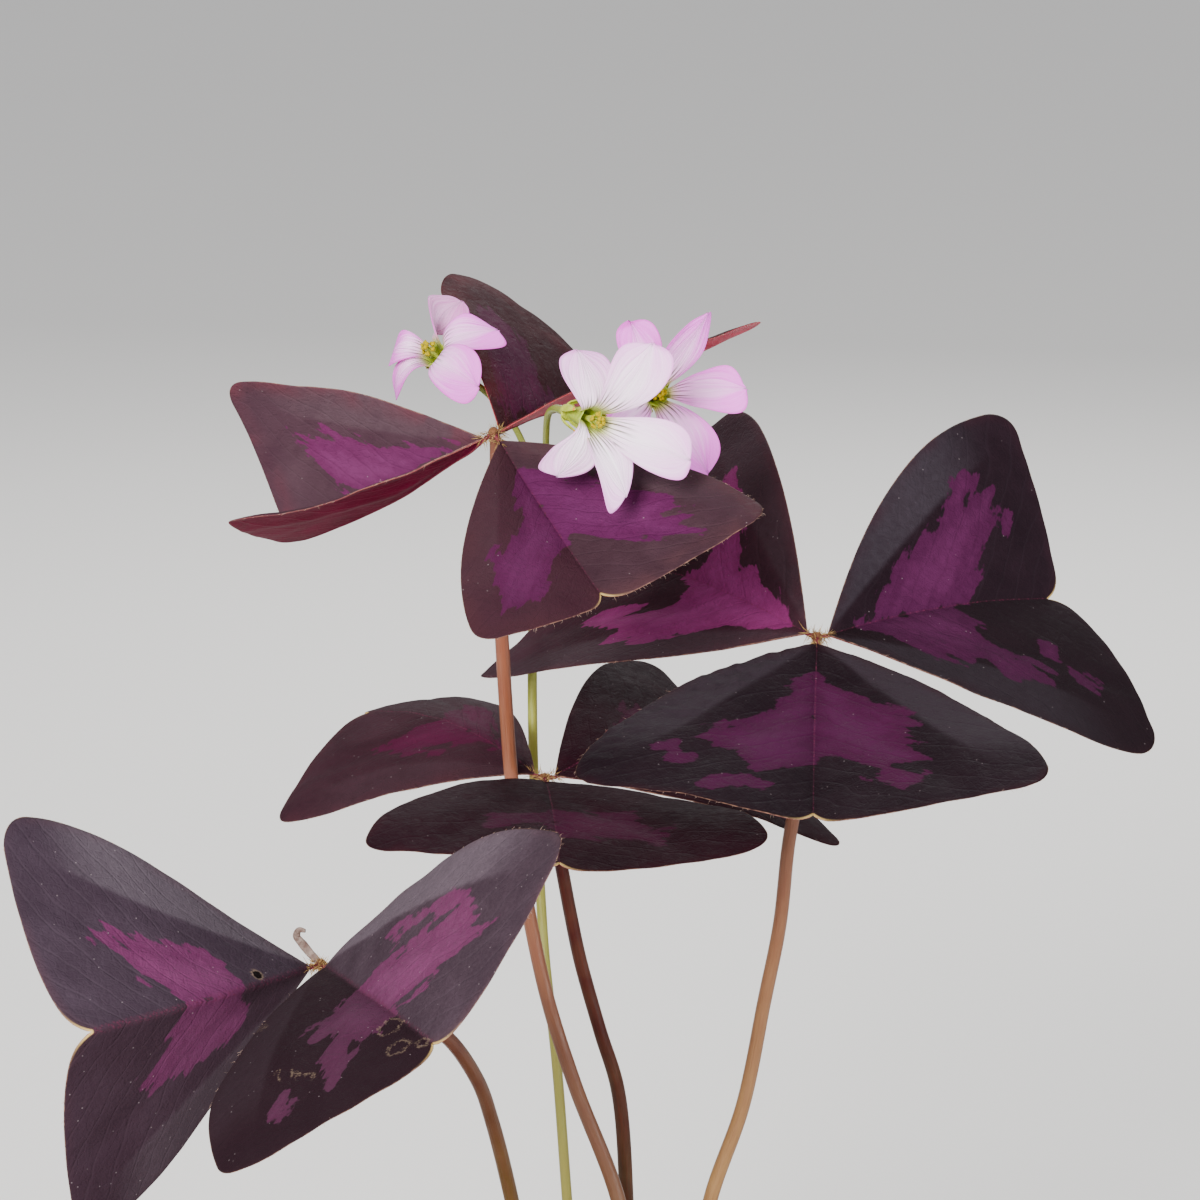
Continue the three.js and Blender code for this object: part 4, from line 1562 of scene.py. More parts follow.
    def shape(self, x: Array, y: Array, detail: bool) -> Array:
        """Flat points carried onto the folded, curled and arched blade, from the hub.

        Each half is an arc across that starts at the fold and turns by its curl. Outside the crease
        the shoulder lifts it, and a slow wave runs along the margin. The midrib is an arc in its own
        upright plane, on which the cross-section stands square, and the whole is rolled about it.

        Args:
            x: Sideways, in leaflet lengths, the right half positive.
            y: Along the midrib.
            detail: Whether the small relief is added.

        Returns:
            The points in millimetres.
        """
        left = x < 0
        width = np.abs(x) * np.where(left, self.left.width, self.right.width)
        fold = np.radians(self.fold)
        halves = (self.right, self.left)
        near, far = (arc(fold, np.radians(half.curl) / self.CORNERS, width) for half in halves)
        sideways, rise = np.where(left, far[0], near[0]), np.where(left, far[1], near[1])
        outside = self.outside(x, y)
        soft = np.where(outside > 0, np.hypot(outside, 0.03) - 0.03, 0)
        shoulder = np.tan(np.radians(np.where(left, self.left.shoulder, self.right.shoulder)))
        wave = self.RIPPLE * np.sin(2 * np.pi * (1.6 * y + self.heading / 90)) * (x / self.CORNERS) ** 2
        height = rise + shoulder * soft + wave
        if detail:
            height = height + self.relief(x, y)
        bend = np.radians(self.bend)
        start = np.radians(self.climb) + bend / 2
        forward, up = arc(start, -bend, y)
        slope = start - bend * y
        ahead = direction(self.heading, 0)
        right = np.array([ahead[1], -ahead[0], 0])
        point = ahead * (forward - height * np.sin(slope))[..., None]
        point = point + right * np.where(left, -sideways, sideways)[..., None]
        point = point + np.array(UP) * (up + height * np.cos(slope))[..., None]
        midrib = direction(self.heading, self.climb)
        point = turned(point, midrib, -np.radians(self.roll))
        return point * self.length + midrib * self.HUB_OFFSET

    def blade(self) -> Shell:
        """The blade as a thin sheet that narrows to its margin, with the values its finishes read.

        Returns:
            The sheet, about the hub.
        """
        x, y = self.grid()
        v = np.linspace(-1, 1, x.shape[1])[None]
        half = self.HALF_THICKNESS * np.sqrt(1 - np.abs(v) ** 10) * np.ones_like(x)
        sheet = thin_sheet(self.shape(x, y, True), self.normals(x, y), half, (True, True))
        at = sheet.values.pop("grid").astype(int)
        flat = np.stack([x.ravel(), y.ravel()], -1)[at]
        rim = np.vstack([self.outline(220), self.outline(220)[::-1] * (-1, 1)])
        seed = np.full(len(flat), self.heading * 0.37 + self.length)
        outside = self.outside(flat[:, 0], flat[:, 1])
        fading = 1 - smoothstep(flat[:, 1], 0.62, 0.95)
        sheet.values.update(
            flat=np.column_stack([flat, seed]),
            patch=self.marks.flame(flat),
            scar=self.marks.scarred(flat),
            hole=self.marks.eaten(flat),
            rim=np.maximum(signed_distance(flat, rim), 0) * self.length,
            # band marks the blade outside the crease, where sheen is painted; the next value marks a strip
            # just inside it, where crease shade is painted.
            band=smoothstep(outside, -0.008, 0.014) * fading,
            strip=(1 - smoothstep(np.abs(outside + 0.05), 0.01, 0.05)) * fading,
            aside=np.abs(flat[:, 0]) * self.length,
            notch=bell(np.hypot(flat[:, 0], flat[:, 1] - self.MIDRIB), 0.07),
        )
        return sheet

    def fringe(self) -> Shell:
        """Short pale hairs along the margin, leaning outwards at random.

        Returns:
            The hairs, with finish 3.
        """
        rng = np.random.default_rng(int(self.heading * 7 + self.length) + 999)
        edge = self.outline(400)[rng.integers(12, 392, self.HAIRS)]
        edge[:, 0] *= rng.choice([-1, 1], self.HAIRS)
        x, y = edge.T
        root = self.shape(x * 0.997, y * 0.999, True)
        out = unit(self.shape(x, y, False) - self.shape(x * 0.96, y * 0.975, False))
        ways = unit(out + 0.45 * rng.normal(size=out.shape))
        return hairs(root, ways, rng.uniform(0.25, 0.75, self.HAIRS), 0.018, 0.15).finished(3)

    def petiolule(self) -> Shell:
        """The short swollen stalk between the hub and the blade, which runs on under it as the midrib.

        Returns:
            A tube with finish 2.
        """
        y, steps = np.linspace(0.0, 0.9, 40), 70
        x = np.zeros_like(y)
        line = self.shape(x, y, True) - self.normals(x, y) * 0.14
        root = direction(self.heading, self.climb) * 0.4
        path = evenly(np.vstack([root, line]), steps)
        run = np.linspace(0, 1, steps)
        radius = 0.12 + 0.1 * bell(run, 0.2) + 0.12 * bell(run, 0.05)
        return tube(path, radius * (1 - 0.8 * run**2), 12).finished(2)


@dataclass
class Leaf:
    """A leaf: its petiole from the soil's top to the hub, the hub with its hairs, and its open leaflets.

    The petiole has a radius and sinks into the soil, in millimetres. The seed chooses noise and hairs.
    """

    name: str
    petiole: tuple[Point, ...]
    stem: Stem
    leaflets: tuple[Leaflet, ...]
    radius: float = 1.05
    sink: float = 12.0
    whisker_count: int = 170
    seed: int = 1

    @property
    def hub(self) -> Array:
        """The point where the leaflets meet."""
        return np.array(self.petiole[-1], float)

    def stalk(self) -> Shell:
        """The petiole: a tube that is stoutest at the soil and thins upwards, most of all under the hub.

        Returns:
            The tube, with three faint ribs.
        """
        x, y, z = self.petiole[0]
        path = smooth_path([(x, y, z - self.sink), *self.petiole], 0.8)
        run = np.linspace(0, 1, len(path))[:, None]
        sides = 20
        angle = turn_round(sides)[None]
        radius = self.radius * (1.04 - 0.2 * run - 0.3 * smoothstep(run, 0.94, 1.0))
        uneven = lattice_noise(path / 9, 1.0, self.seed)[:, None]
        return tube(path, radius * (1 + 0.025 * np.sin(3 * angle + 2 * run) + 0.02 * uneven), sides)

    def knob(self) -> Shell:
        """The swollen hub: a ball whose radius is roughened by noise.

        Returns:
            The ball, with finish 1.
        """
        polar = np.linspace(-np.pi / 2, np.pi / 2, 14)
        shell = revolved(np.stack([np.cos(polar) * 0.72, np.sin(polar) * 0.7], -1), 20)
        shell.points *= (1 + 0.12 * lattice_noise(shell.points, 0.7, self.seed))[:, None]
        shell.points += self.hub
        return shell.finished(1)

    def whiskers(self) -> Shell:
        """Brown hairs round the hub and the feet of the leaflets, pointing outwards.

        Returns:
            The hairs, with finish 2.
        """
        rng, count = np.random.default_rng(self.seed + 40), self.whisker_count
        ways = unit(rng.normal(size=(count, 3)))
        along = unit(np.array([direction(leaflet.heading, leaflet.climb) for leaflet in self.leaflets]))
        chosen = along[rng.integers(0, len(along), count)]
        foot = chosen * rng.uniform(0, 2.2, count)[:, None]
        roots = self.hub + foot + ways * 0.45
        ways = unit(ways + 0.5 * chosen)
        return hairs(roots, ways, rng.uniform(0.6, 1.7, count), 0.06, 0.1).finished(2)

    def build(self) -> None:
        """Makes the petiole with its hub, and each leaflet."""
        parts = Shell.joined([self.stalk(), self.knob(), self.whiskers()])
        made = parts.piece(f"petiole_{self.name}", [self.stem, PULVINUS, HAIR])
        install(made, [f"leaf_{self.name}_petiole"])
        for leaflet in self.leaflets:
            shell = Shell.joined([leaflet.blade(), leaflet.petiolule(), leaflet.fringe()])
            shell.points += self.hub
            finishes = [leaflet.face, leaflet.under, RIB, FRINGE]
            made = shell.piece(f"leaflet_{self.name}_{leaflet.name}", finishes)
            install(made, [f"leaf_{self.name}_leaflet_{leaflet.name}"])


@dataclass
class WitheredLeaflet:
    """The lowest leaf's third leaflet: a dried, curled stub."""

    hub: Array
    path: tuple[Point, ...] = (
        (-0.2, 0.1, 0.2), (-1.4, 0.8, 1.2), (-2.3, 1.4, 2.1), (-3.0, 1.6, 3.1), (-2.7, 1.4, 4.0),
        (-1.9, 1.1, 4.0),
    )
    width: float = 1.1
    thickness: float = 0.6

    def build(self) -> None:
        """Makes it: an oval section along the curl, crumpled by noise and thinning to its tip."""
        path = smooth_path(self.path, 0.08)
        run = np.linspace(0, 1, len(path))[:, None]
        sides = 28
        angle = turn_round(sides)[None]
        oval = 1 / np.hypot(np.cos(angle) / (self.width / 2), np.sin(angle) / (self.thickness / 2))
        where = np.stack(np.broadcast_arrays(np.cos(angle), np.sin(angle), run * 5), -1)
        crumple = 1 + 0.16 * lattice_noise(where, 0.6, 9)
        swell = np.sin(np.pi * np.clip(0.2 + 0.72 * run, 0, 1)) ** 0.6
        shell = tube(path, oval * crumple * swell, sides)
        shell.points += self.hub
        made = shell.piece("withered_leaflet", [WITHERED_SKIN])
        install(made, ["leaf_low_withered_leaflet"])


# ---- flowers ----


@dataclass(frozen=True)
class PetalForm:
    """One petal, in degrees about the flower's axis and in millimetres.

    Attributes:
        root: Where round the throat it leaves.
        tip: Which way round the axis it points.
        open: How far its tip leans out from the axis.
        reach: How far its tip is from the throat.
        twist: How far it has turned about its own length at the tip.
        half_width: Half its width.
        slant: How much further one corner reaches than the other.
        claw: How wide its foot is.
        point: How much it narrows to its end.
        waist: How much it narrows above its foot.
    """

    root: float
    tip: float
    open: float
    reach: float
    twist: float
    half_width: float
    slant: float = 0.0
    claw: float = 0.95
    point: float = 0.0
    waist: float = 0.0


@dataclass
class Flower:
    """A five-petalled flower with its calyx and stamens, in its own frame with the throat at 0.

    Attributes:
        throat: Where the middle of its mouth is, in the plant's frame.
        heading: Which way its axis runs, from +X towards +Y.
        climb: How far the axis rises above level.
        depth: How deep the funnel is; radius is its mouth's, foot its foot's and wall its wall.
        cup: How hollow the petals are.
        arch: How far they rise before they open.
        sepal_width: Half a sepal's width.
    """

    name: str
    throat: Point
    heading: float
    climb: float
    petals: tuple[PetalForm, ...]
    face: Petal = PETAL_FACE
    depth: float = 7.2
    radius: float = 1.8
    foot: float = 0.85
    wall: float = 0.4
    cup: float = 0.16
    arch: float = 2.2
    sepal_length: float = 5.0
    sepal_width: float = 0.85

    SIDE = ((0.0, 0.0), (0.1, 0.28), (0.74, 0.38), (0.96, 0.66))
    CORNER = ((0.96, 0.66), (1.06, 0.8), (1.02, 0.93), (0.7, 0.98))
    END = ((0.7, 0.98), (0.48, 1.015), (0.2, 1.02), (0.0, 1.02))
    MIDDLE = 1.02

    def frame(self) -> Array:
        """The flower's frame as rows: across, up across, and out along its axis."""
        axis = direction(self.heading, self.climb)
        first = unit(np.cross(UP, axis))
        return np.stack([first, np.cross(axis, first), axis])

    def placed(self, shell: Shell) -> Shell:
        """A shell carried from the flower's own frame to its place."""
        shell.points = shell.points @ self.frame() + np.array(self.throat)
        return shell

    @staticmethod
    def around(azimuth: float, radius: float, height: float) -> Array:
        """A point at an azimuth about the axis."""
        a = np.radians(azimuth)
        return np.array([radius * np.cos(a), radius * np.sin(a), height])

    def sheet(self, controls: Sequence[Array], azimuth: float, along: Array, aside: Array, cup: float,
              twist: float, breadth: Array | float) -> tuple[Array, Array]:
        """A blade along a curve: aside across it and cup * aside * aside / breadth towards the axis.

        Args:
            controls: The curve's four controls.
            azimuth: Which way the blade lies from the axis.
            along: Where along the curve, for each grid point.
            aside: How far across, in millimetres.
            cup: How hollow it is.
            twist: How far it has turned at the end, in degrees.
            breadth: Half the blade's full width.

        Returns:
            The middle points and the normals of the face towards the axis.
        """
        point, slope = bezier(controls, along)
        tangent = unit(slope)
        wide = np.cross(self.around(azimuth, 1, 0), UP)
        wide = unit(wide - tangent * np.sum(tangent * wide, -1, keepdims=True))
        wide = turned(wide, tangent, np.radians(twist) * along)
        inward = np.cross(wide, tangent)
        hollow = cup * aside**2 / breadth
        middle = point + wide * aside[..., None] + inward * hollow[..., None]
        return middle, unit(inward - (2 * cup * aside / breadth)[..., None] * wide)

    def petal(self, form: PetalForm, seed: int) -> Shell:
        """One petal: its outline drawn flat, filled by a grid and laid along a curve.

        Across, a grid point is v times the outline's half width; along, it goes from the middle line
        to the outline as |v| goes to 1.

        Args:
            form: The petal's sizes.
            seed: Which unevenness.

        Returns:
            The petal, with the values flow (seed, place across, place along) and tone (place along).
        """
        away = np.radians(form.open)
        end = self.around(form.tip, form.reach * np.sin(away), form.reach * np.cos(away))
        controls = [
            self.around(form.root, self.radius - 0.55, -self.depth * 0.35),
            self.around(form.root, self.radius + 0.2, 1),
            end * 0.55 + [0, 0, self.arch],
            end,
        ]
        rows, columns = 60, 15
        edge = drawn((self.SIDE, self.CORNER, self.END), 60, rows + 1)
        u = np.linspace(0, 1, rows + 1)[:, None]
        v = np.sin(np.linspace(-1, 1, 2 * columns + 1) * np.pi / 2)[None]
        across = edge[:, :1] * v
        along = self.MIDDLE * u**1.3
        along = along + (edge[:, 1:] - along) * np.abs(v)
        lean = 0.09 * form.slant * across * smoothstep(along, 0.4, 1.0)
        along = along * (1 + lean - 0.07 * abs(form.slant))
        ragged = 0.012 * np.sin(5 * v + seed) + 0.006 * np.sin(13 * v + 2 * seed)
        along = along - ragged * smoothstep(edge[:, 1:], 0.85, 1.0)
        foot = form.claw * (1 - smoothstep(along, 0.0, 0.6)) * v
        taper = 1 - 0.75 * form.point * smoothstep(along, 0.55, 1.02)
        taper = taper * (1 - form.waist * (1 - smoothstep(along, 0.25, 0.7)))
        width = form.half_width * across * taper + foot
        middle, normal = self.sheet(controls, form.tip, along, width, self.cup, form.twist, form.half_width)
        where = np.stack([along * 2.6, across * 1.2, np.full_like(along, seed * 1.7)], -1)
        lift = 0.4 * lattice_noise(where, 1.0, 31) * smoothstep(along, 0.35, 1.0)
        pleat = -0.08 * bell(across, 0.1) * smoothstep(along, 0.2, 0.5) * smoothstep(along, 1.0, 0.6)
        middle = middle + normal * (lift + pleat)[..., None]
        half = 0.12 * np.sqrt(np.clip(1 - np.abs(v) ** 8, 0, 1)) * np.ones_like(along)
        shell = thin_sheet(middle, normal, half, (False, True))
        at = shell.values.pop("grid").astype(int)
        fan = across / np.maximum(edge[:, :1], 0.05)
        flow = np.stack([np.full(along.size, float(seed)), fan.ravel(), along.ravel()], -1)[at]
        shell.values.update(flow=flow, tone=along.ravel()[at])
        return shell

    def funnel(self) -> Shell:
        """The tube that joins the petals: a turned funnel with five soft flutes.

        Returns:
            The funnel, with finish 2.
        """
        depth, radius, wall, foot = self.depth, self.radius, self.wall, self.foot
        corners = [
            (0, -depth), (foot, -depth + 0.2), (radius * 0.75, -depth * 0.5), (radius * 0.9, -1.9),
            (radius * 0.93, -1.5), (radius * 0.86, -1.4), (radius * 0.75 - 0.1, -1.9),
            (radius * 0.75 - wall, -depth * 0.5), (foot - wall, -depth + 1), (0, -depth + 0.9),
        ]
        profile = rounded(corners, 0.4, 0.3)
        steps = 50
        angle = turn_round(steps)[None]
        root = np.radians(self.petals[0].root)
        flutes = 0.1 * np.cos(5 * (angle - root)) * smoothstep(profile[:, 1:], -depth, -1)
        return revolved(profile, steps, flutes * smoothstep(profile[:, :1], 0.2, 0.9)).finished(2).toned(0.0)

    def sepals(self) -> Shell:
        """The receptacle and five pointed sepals, each with two small orange calli at its tip.

        Returns:
            All of it, the calli with finish 1.
        """
        base = -self.depth - 0.3
        corners = [(0, -1.2), (0.5, -1.15), (0.95, -0.6), (1.15, -0.1), (1.0, 0), (0, 0)]
        parts = [revolved(rounded(np.array(corners) + (0, base), 0.15, 0.15), 24)]
        rows, columns, last = 26, 13, -3
        for k in range(len(self.petals)):
            azimuth = self.petals[0].root + 36 + 72 * k
            controls = [
                self.around(azimuth, 0.5, base - 0.7),
                self.around(azimuth, self.foot + 1.1, base - 0.4),
                self.around(azimuth, self.radius * 0.8 + 0.6, -self.depth * 0.6),
                self.around(azimuth, self.radius + 0.7, base + self.sepal_length),
            ]
            u, v = np.meshgrid(np.linspace(0, 1, rows), np.linspace(-1, 1, columns), indexing="ij")
            width = self.sepal_width * np.sin(np.pi * (0.12 + 0.88 * u)) ** 0.8 + 0.02
            middle, normal = self.sheet(controls, azimuth, u, width * v, 0.35, 0, self.sepal_width)
            half = 0.14 * np.sqrt(np.clip(1 - v**6, 0, 1)) * (1 - 0.5 * u)
            sepal = thin_sheet(middle, normal, half, (False, False)).finished(0)
            sepal.values.clear()
            parts.append(sepal)
            tip, out = middle[last, columns // 2], normal[last, columns // 2]
            side = unit(middle[last, -1] - middle[last, 0])
            centres = np.stack([tip + side * 0.1, tip - side * 0.1]) - out * 0.08
            parts.append(pebbles(centres, np.full(2, 0.13), 1.6, k).finished(1))
        return Shell.joined(parts)

    def stamens(self) -> Shell:
        """A slim column, ten curved filaments with two-lobed anthers, and five short styles.

        Returns:
            All of it, the anthers with finish 0 and the rest with finish 1.
        """
        column = np.array([(0, -5.6), (0.34, -5.5), (0.38, -3.0), (0.3, -1.2), (0.2, -0.8), (0, -0.7)])
        parts = [revolved(column, 16).finished(1)]
        centres: list[Array] = []
        for k in range(10):
            top, lean = (0.75, 0.42) if k % 2 else (-0.1, 0.82)
            azimuth = 36 * k + 8
            foot, tip = self.around(azimuth, 0.2, -3.0), self.around(azimuth, lean, top)
            bow = self.around(azimuth, lean * 0.35, top - 1.4)
            path = bezier([foot, bow, (bow + tip) / 2, tip], np.linspace(0, 1, 9))[0]
            parts.append(tube(path, np.linspace(0.1, 0.06, 9), 6).finished(1))
            side = np.cross(unit(tip), UP) * 0.12
            centres += [tip + side, tip - side]
        for azimuth in range(26, 386, 72):
            bend = ((0.1, -1.2), (0.1, -0.2), (0.3, 0.1), (0.42, 0.35))
            path = bezier([self.around(azimuth, *at) for at in bend], np.linspace(0, 1, 7))[0]
            parts.append(tube(path, np.linspace(0.07, 0.1, 7), 6).finished(1))
        parts.append(pebbles(np.array(centres), np.full(len(centres), 0.25), 1.3, 5))
        return Shell.joined(parts)

    def build(self) -> None:
        """Makes the corolla, the calyx and the stamens."""
        petals = [self.petal(form, number) for number, form in enumerate(self.petals, 1)]
        parts = {
            "corolla": (Shell.joined([self.funnel(), *petals]), [self.face, PETAL_BACK, THROAT], Slot.PETALS),
            "calyx": (self.sepals(), [SEPAL_GREEN, TIP_CALLUS], Slot.SEPALS),
            "stamens": (self.stamens(), [ANTHER, FILAMENT], Slot.ANTHERS),
        }
        for part, (shell, finishes, slot) in parts.items():
            made = self.placed(shell).piece(f"{part}_{self.name}", finishes)
            install(made, [f"flower_{self.name}_{part}"])


@dataclass
class FlowerStalk:
    """The scape with the knob of its umbel, small bracts and a pedicel for each flower."""

    scape: tuple[Point, ...]
    pedicels: tuple[tuple[Point, ...], ...]
    radius: float = 0.75
    pedicel_radius: float = 0.45
    sink: float = 12.0
    knob_radius: float = 1.1
    bract_count: int = 9

    @property
    def umbel(self) -> Array:
        """The point where the pedicels meet."""
        return np.array(self.scape[-1])

    def stem(self) -> Shell:
        """The scape: a tube that thins upwards a little."""
        x, y, z = self.scape[0]
        path = smooth_path([(x, y, z - self.sink), *self.scape], 0.8)
        return tube(path, self.radius * (1.03 - 0.15 * np.linspace(0, 1, len(path))), 18)

    def pedicel(self, knots: Sequence[Point]) -> Shell:
        """A flower's own stalk through its knots, which swells towards the flower."""
        line = smooth_path(knots, 0.5)
        swell = 1 + 0.35 * bell(1 - np.linspace(0, 1, len(line)), 0.08)
        return tube(line, self.pedicel_radius * swell, 14).toned(0.9, 0.1)

    def knob(self) -> Shell:
        """The umbel's knob: a ball roughened by noise."""
        polar = np.linspace(-1.57, 1.57, 12)
        knob = revolved(np.stack([np.cos(polar), np.sin(polar)], -1) * self.knob_radius, 20)
        knob.points = knob.points * (1 + 0.1 * lattice_noise(knob.points, 0.6, 3))[:, None] + self.umbel
        return knob.toned(1.0)

    def bracts(self) -> Shell:
        """Pointed bracts round the knob."""
        rng, count = np.random.default_rng(17), self.bract_count
        angle = turn_round(count)
        ways = unit(np.stack([np.cos(angle), np.sin(angle), np.full(count, 0.9)], -1))
        return hairs(self.umbel + ways * 0.7, ways, rng.uniform(1.2, 2.0, count), 0.28, -0.1).toned(1.0)

    def build(self) -> None:
        """Makes the stalk."""
        stalk = Shell.joined([self.stem(), *map(self.pedicel, self.pedicels), self.knob(), self.bracts()])
        install(stalk.piece("flower_stalk_dressed", [SCAPE_GREEN]), ["flower_stalk"])


# ---- the plant's own numbers ----


# These leaf tops are copies of one finish. Their darkness and tints differ partly from leaf to leaf and
# partly as painted light and shade: each was made lighter or darker for how much light its leaflets get,
# shade with shade_right or shade_left darkens one half as painted shade, and the highest leaf's back leaflet
# has a red margin and a wide blush as painted backlight.
TOP_FACE = LeafTop("leaf top, highest leaf", dark=(52, 32, 42), dusk=(68, 48, 56), sheen_and_bloom=(77, 62, 68),
                   flame=(80, 27, 64), flame_light=(99, 45, 84), blush=(84, 36, 46))
FRONT_FACE = LeafTop("leaf top, highest leaf in front", dark=(42, 25, 32), dusk=(58, 39, 46),
                     sheen_and_bloom=(66, 52, 57), flame=(66, 17, 54), flame_light=(84, 33, 72), blush=(66, 40, 42),
                     shade=(46, 16, 26), shade_right=0.5)
BACK_FACE = LeafTop("leaf top, highest leaf behind", dark=(36, 10, 16), dusk=(50, 20, 26),
                    sheen_and_bloom=(54, 28, 32), flame=(56, 13, 38), flame_light=(68, 20, 48), blush=(80, 24, 32),
                    blush_width=5.5, band=0.2, margin=(88, 34, 36))
RIGHT_BACK = LeafTop("leaf top, right leaf behind", dark=(38, 19, 27), dusk=(54, 32, 40),
                     sheen_and_bloom=(58, 44, 50), flame=(100, 30, 76), flame_light=(124, 48, 100),
                     blush=(66, 34, 42), blush_width=2.0, band=0.6)
RIGHT_SIDE = LeafTop("leaf top, right leaf aside", dark=(20, 10, 16), dusk=(31, 19, 26), sheen_and_bloom=(46, 40, 46),
                     flame=(52, 13, 42), flame_light=(74, 28, 62), blush=(42, 22, 30), blush_width=2.0,
                     band=0.75, shade=(20, 13, 15), shade_right=0.5)
RIGHT_FRONT = LeafTop("leaf top, right leaf in front", dark=(18, 8, 14), dusk=(27, 16, 22),
                      sheen_and_bloom=(42, 34, 40), flame=(50, 10, 38), flame_light=(66, 20, 54), blush=(38, 18, 24),
                      blush_width=1.6, band=0.8)
MID_FACE = LeafTop("leaf top, middle leaf", dark=(36, 17, 24), dusk=(52, 30, 38), sheen_and_bloom=(54, 38, 44),
                   flame=(56, 13, 36), flame_light=(70, 23, 48), blush=(60, 30, 36), blush_width=2.5)
MID_FRONT = LeafTop("leaf top, middle leaf in front", dark=(24, 5, 13), dusk=(34, 11, 20),
                    sheen_and_bloom=(36, 18, 25), flame=(46, 7, 30), flame_light=(58, 14, 40), blush=(42, 15, 22),
                    blush_width=2.0)
LOW_FACE = LeafTop("leaf top, lowest leaf", dark=(38, 27, 36), dusk=(50, 38, 48), sheen_and_bloom=(70, 62, 68),
                   flame=(76, 25, 60), flame_light=(98, 44, 80), blush=(58, 36, 44), blush_width=1.6,
                   band=0.7, midrib=(92, 30, 56), midrib_width=0.7, film=0.34, dust=0.06,
                   film_tone=(80, 72, 80), shade=(34, 16, 24), shade_left=0.55)
LOW_FRONT = LeafTop("leaf top, lowest leaf in front", dark=(36, 24, 32), dusk=(50, 36, 45),
                    sheen_and_bloom=(76, 66, 74), flame=(78, 26, 60), flame_light=(100, 46, 82), blush=(60, 38, 44),
                    blush_width=1.6, band=0.7, midrib=(88, 30, 54), midrib_width=0.7, film=0.5, dust=0.06,
                    film_tone=(92, 80, 88), shade=(26, 10, 16), shade_right=0.85)

# Outlines in hundredths of a leaflet length: x, y, x, y and so on.
TOP_LEAF_PATCH = (0, 20, 10, 30, 15, 38, 8, 42, 12, 47, 20, 52, 30, 58, 46, 63, 48, 70, 52, 84, 60, 95,
                  50, 93, 40, 90, 30, 88, 22, 80, 20, 72, 10, 67, 0, 62)

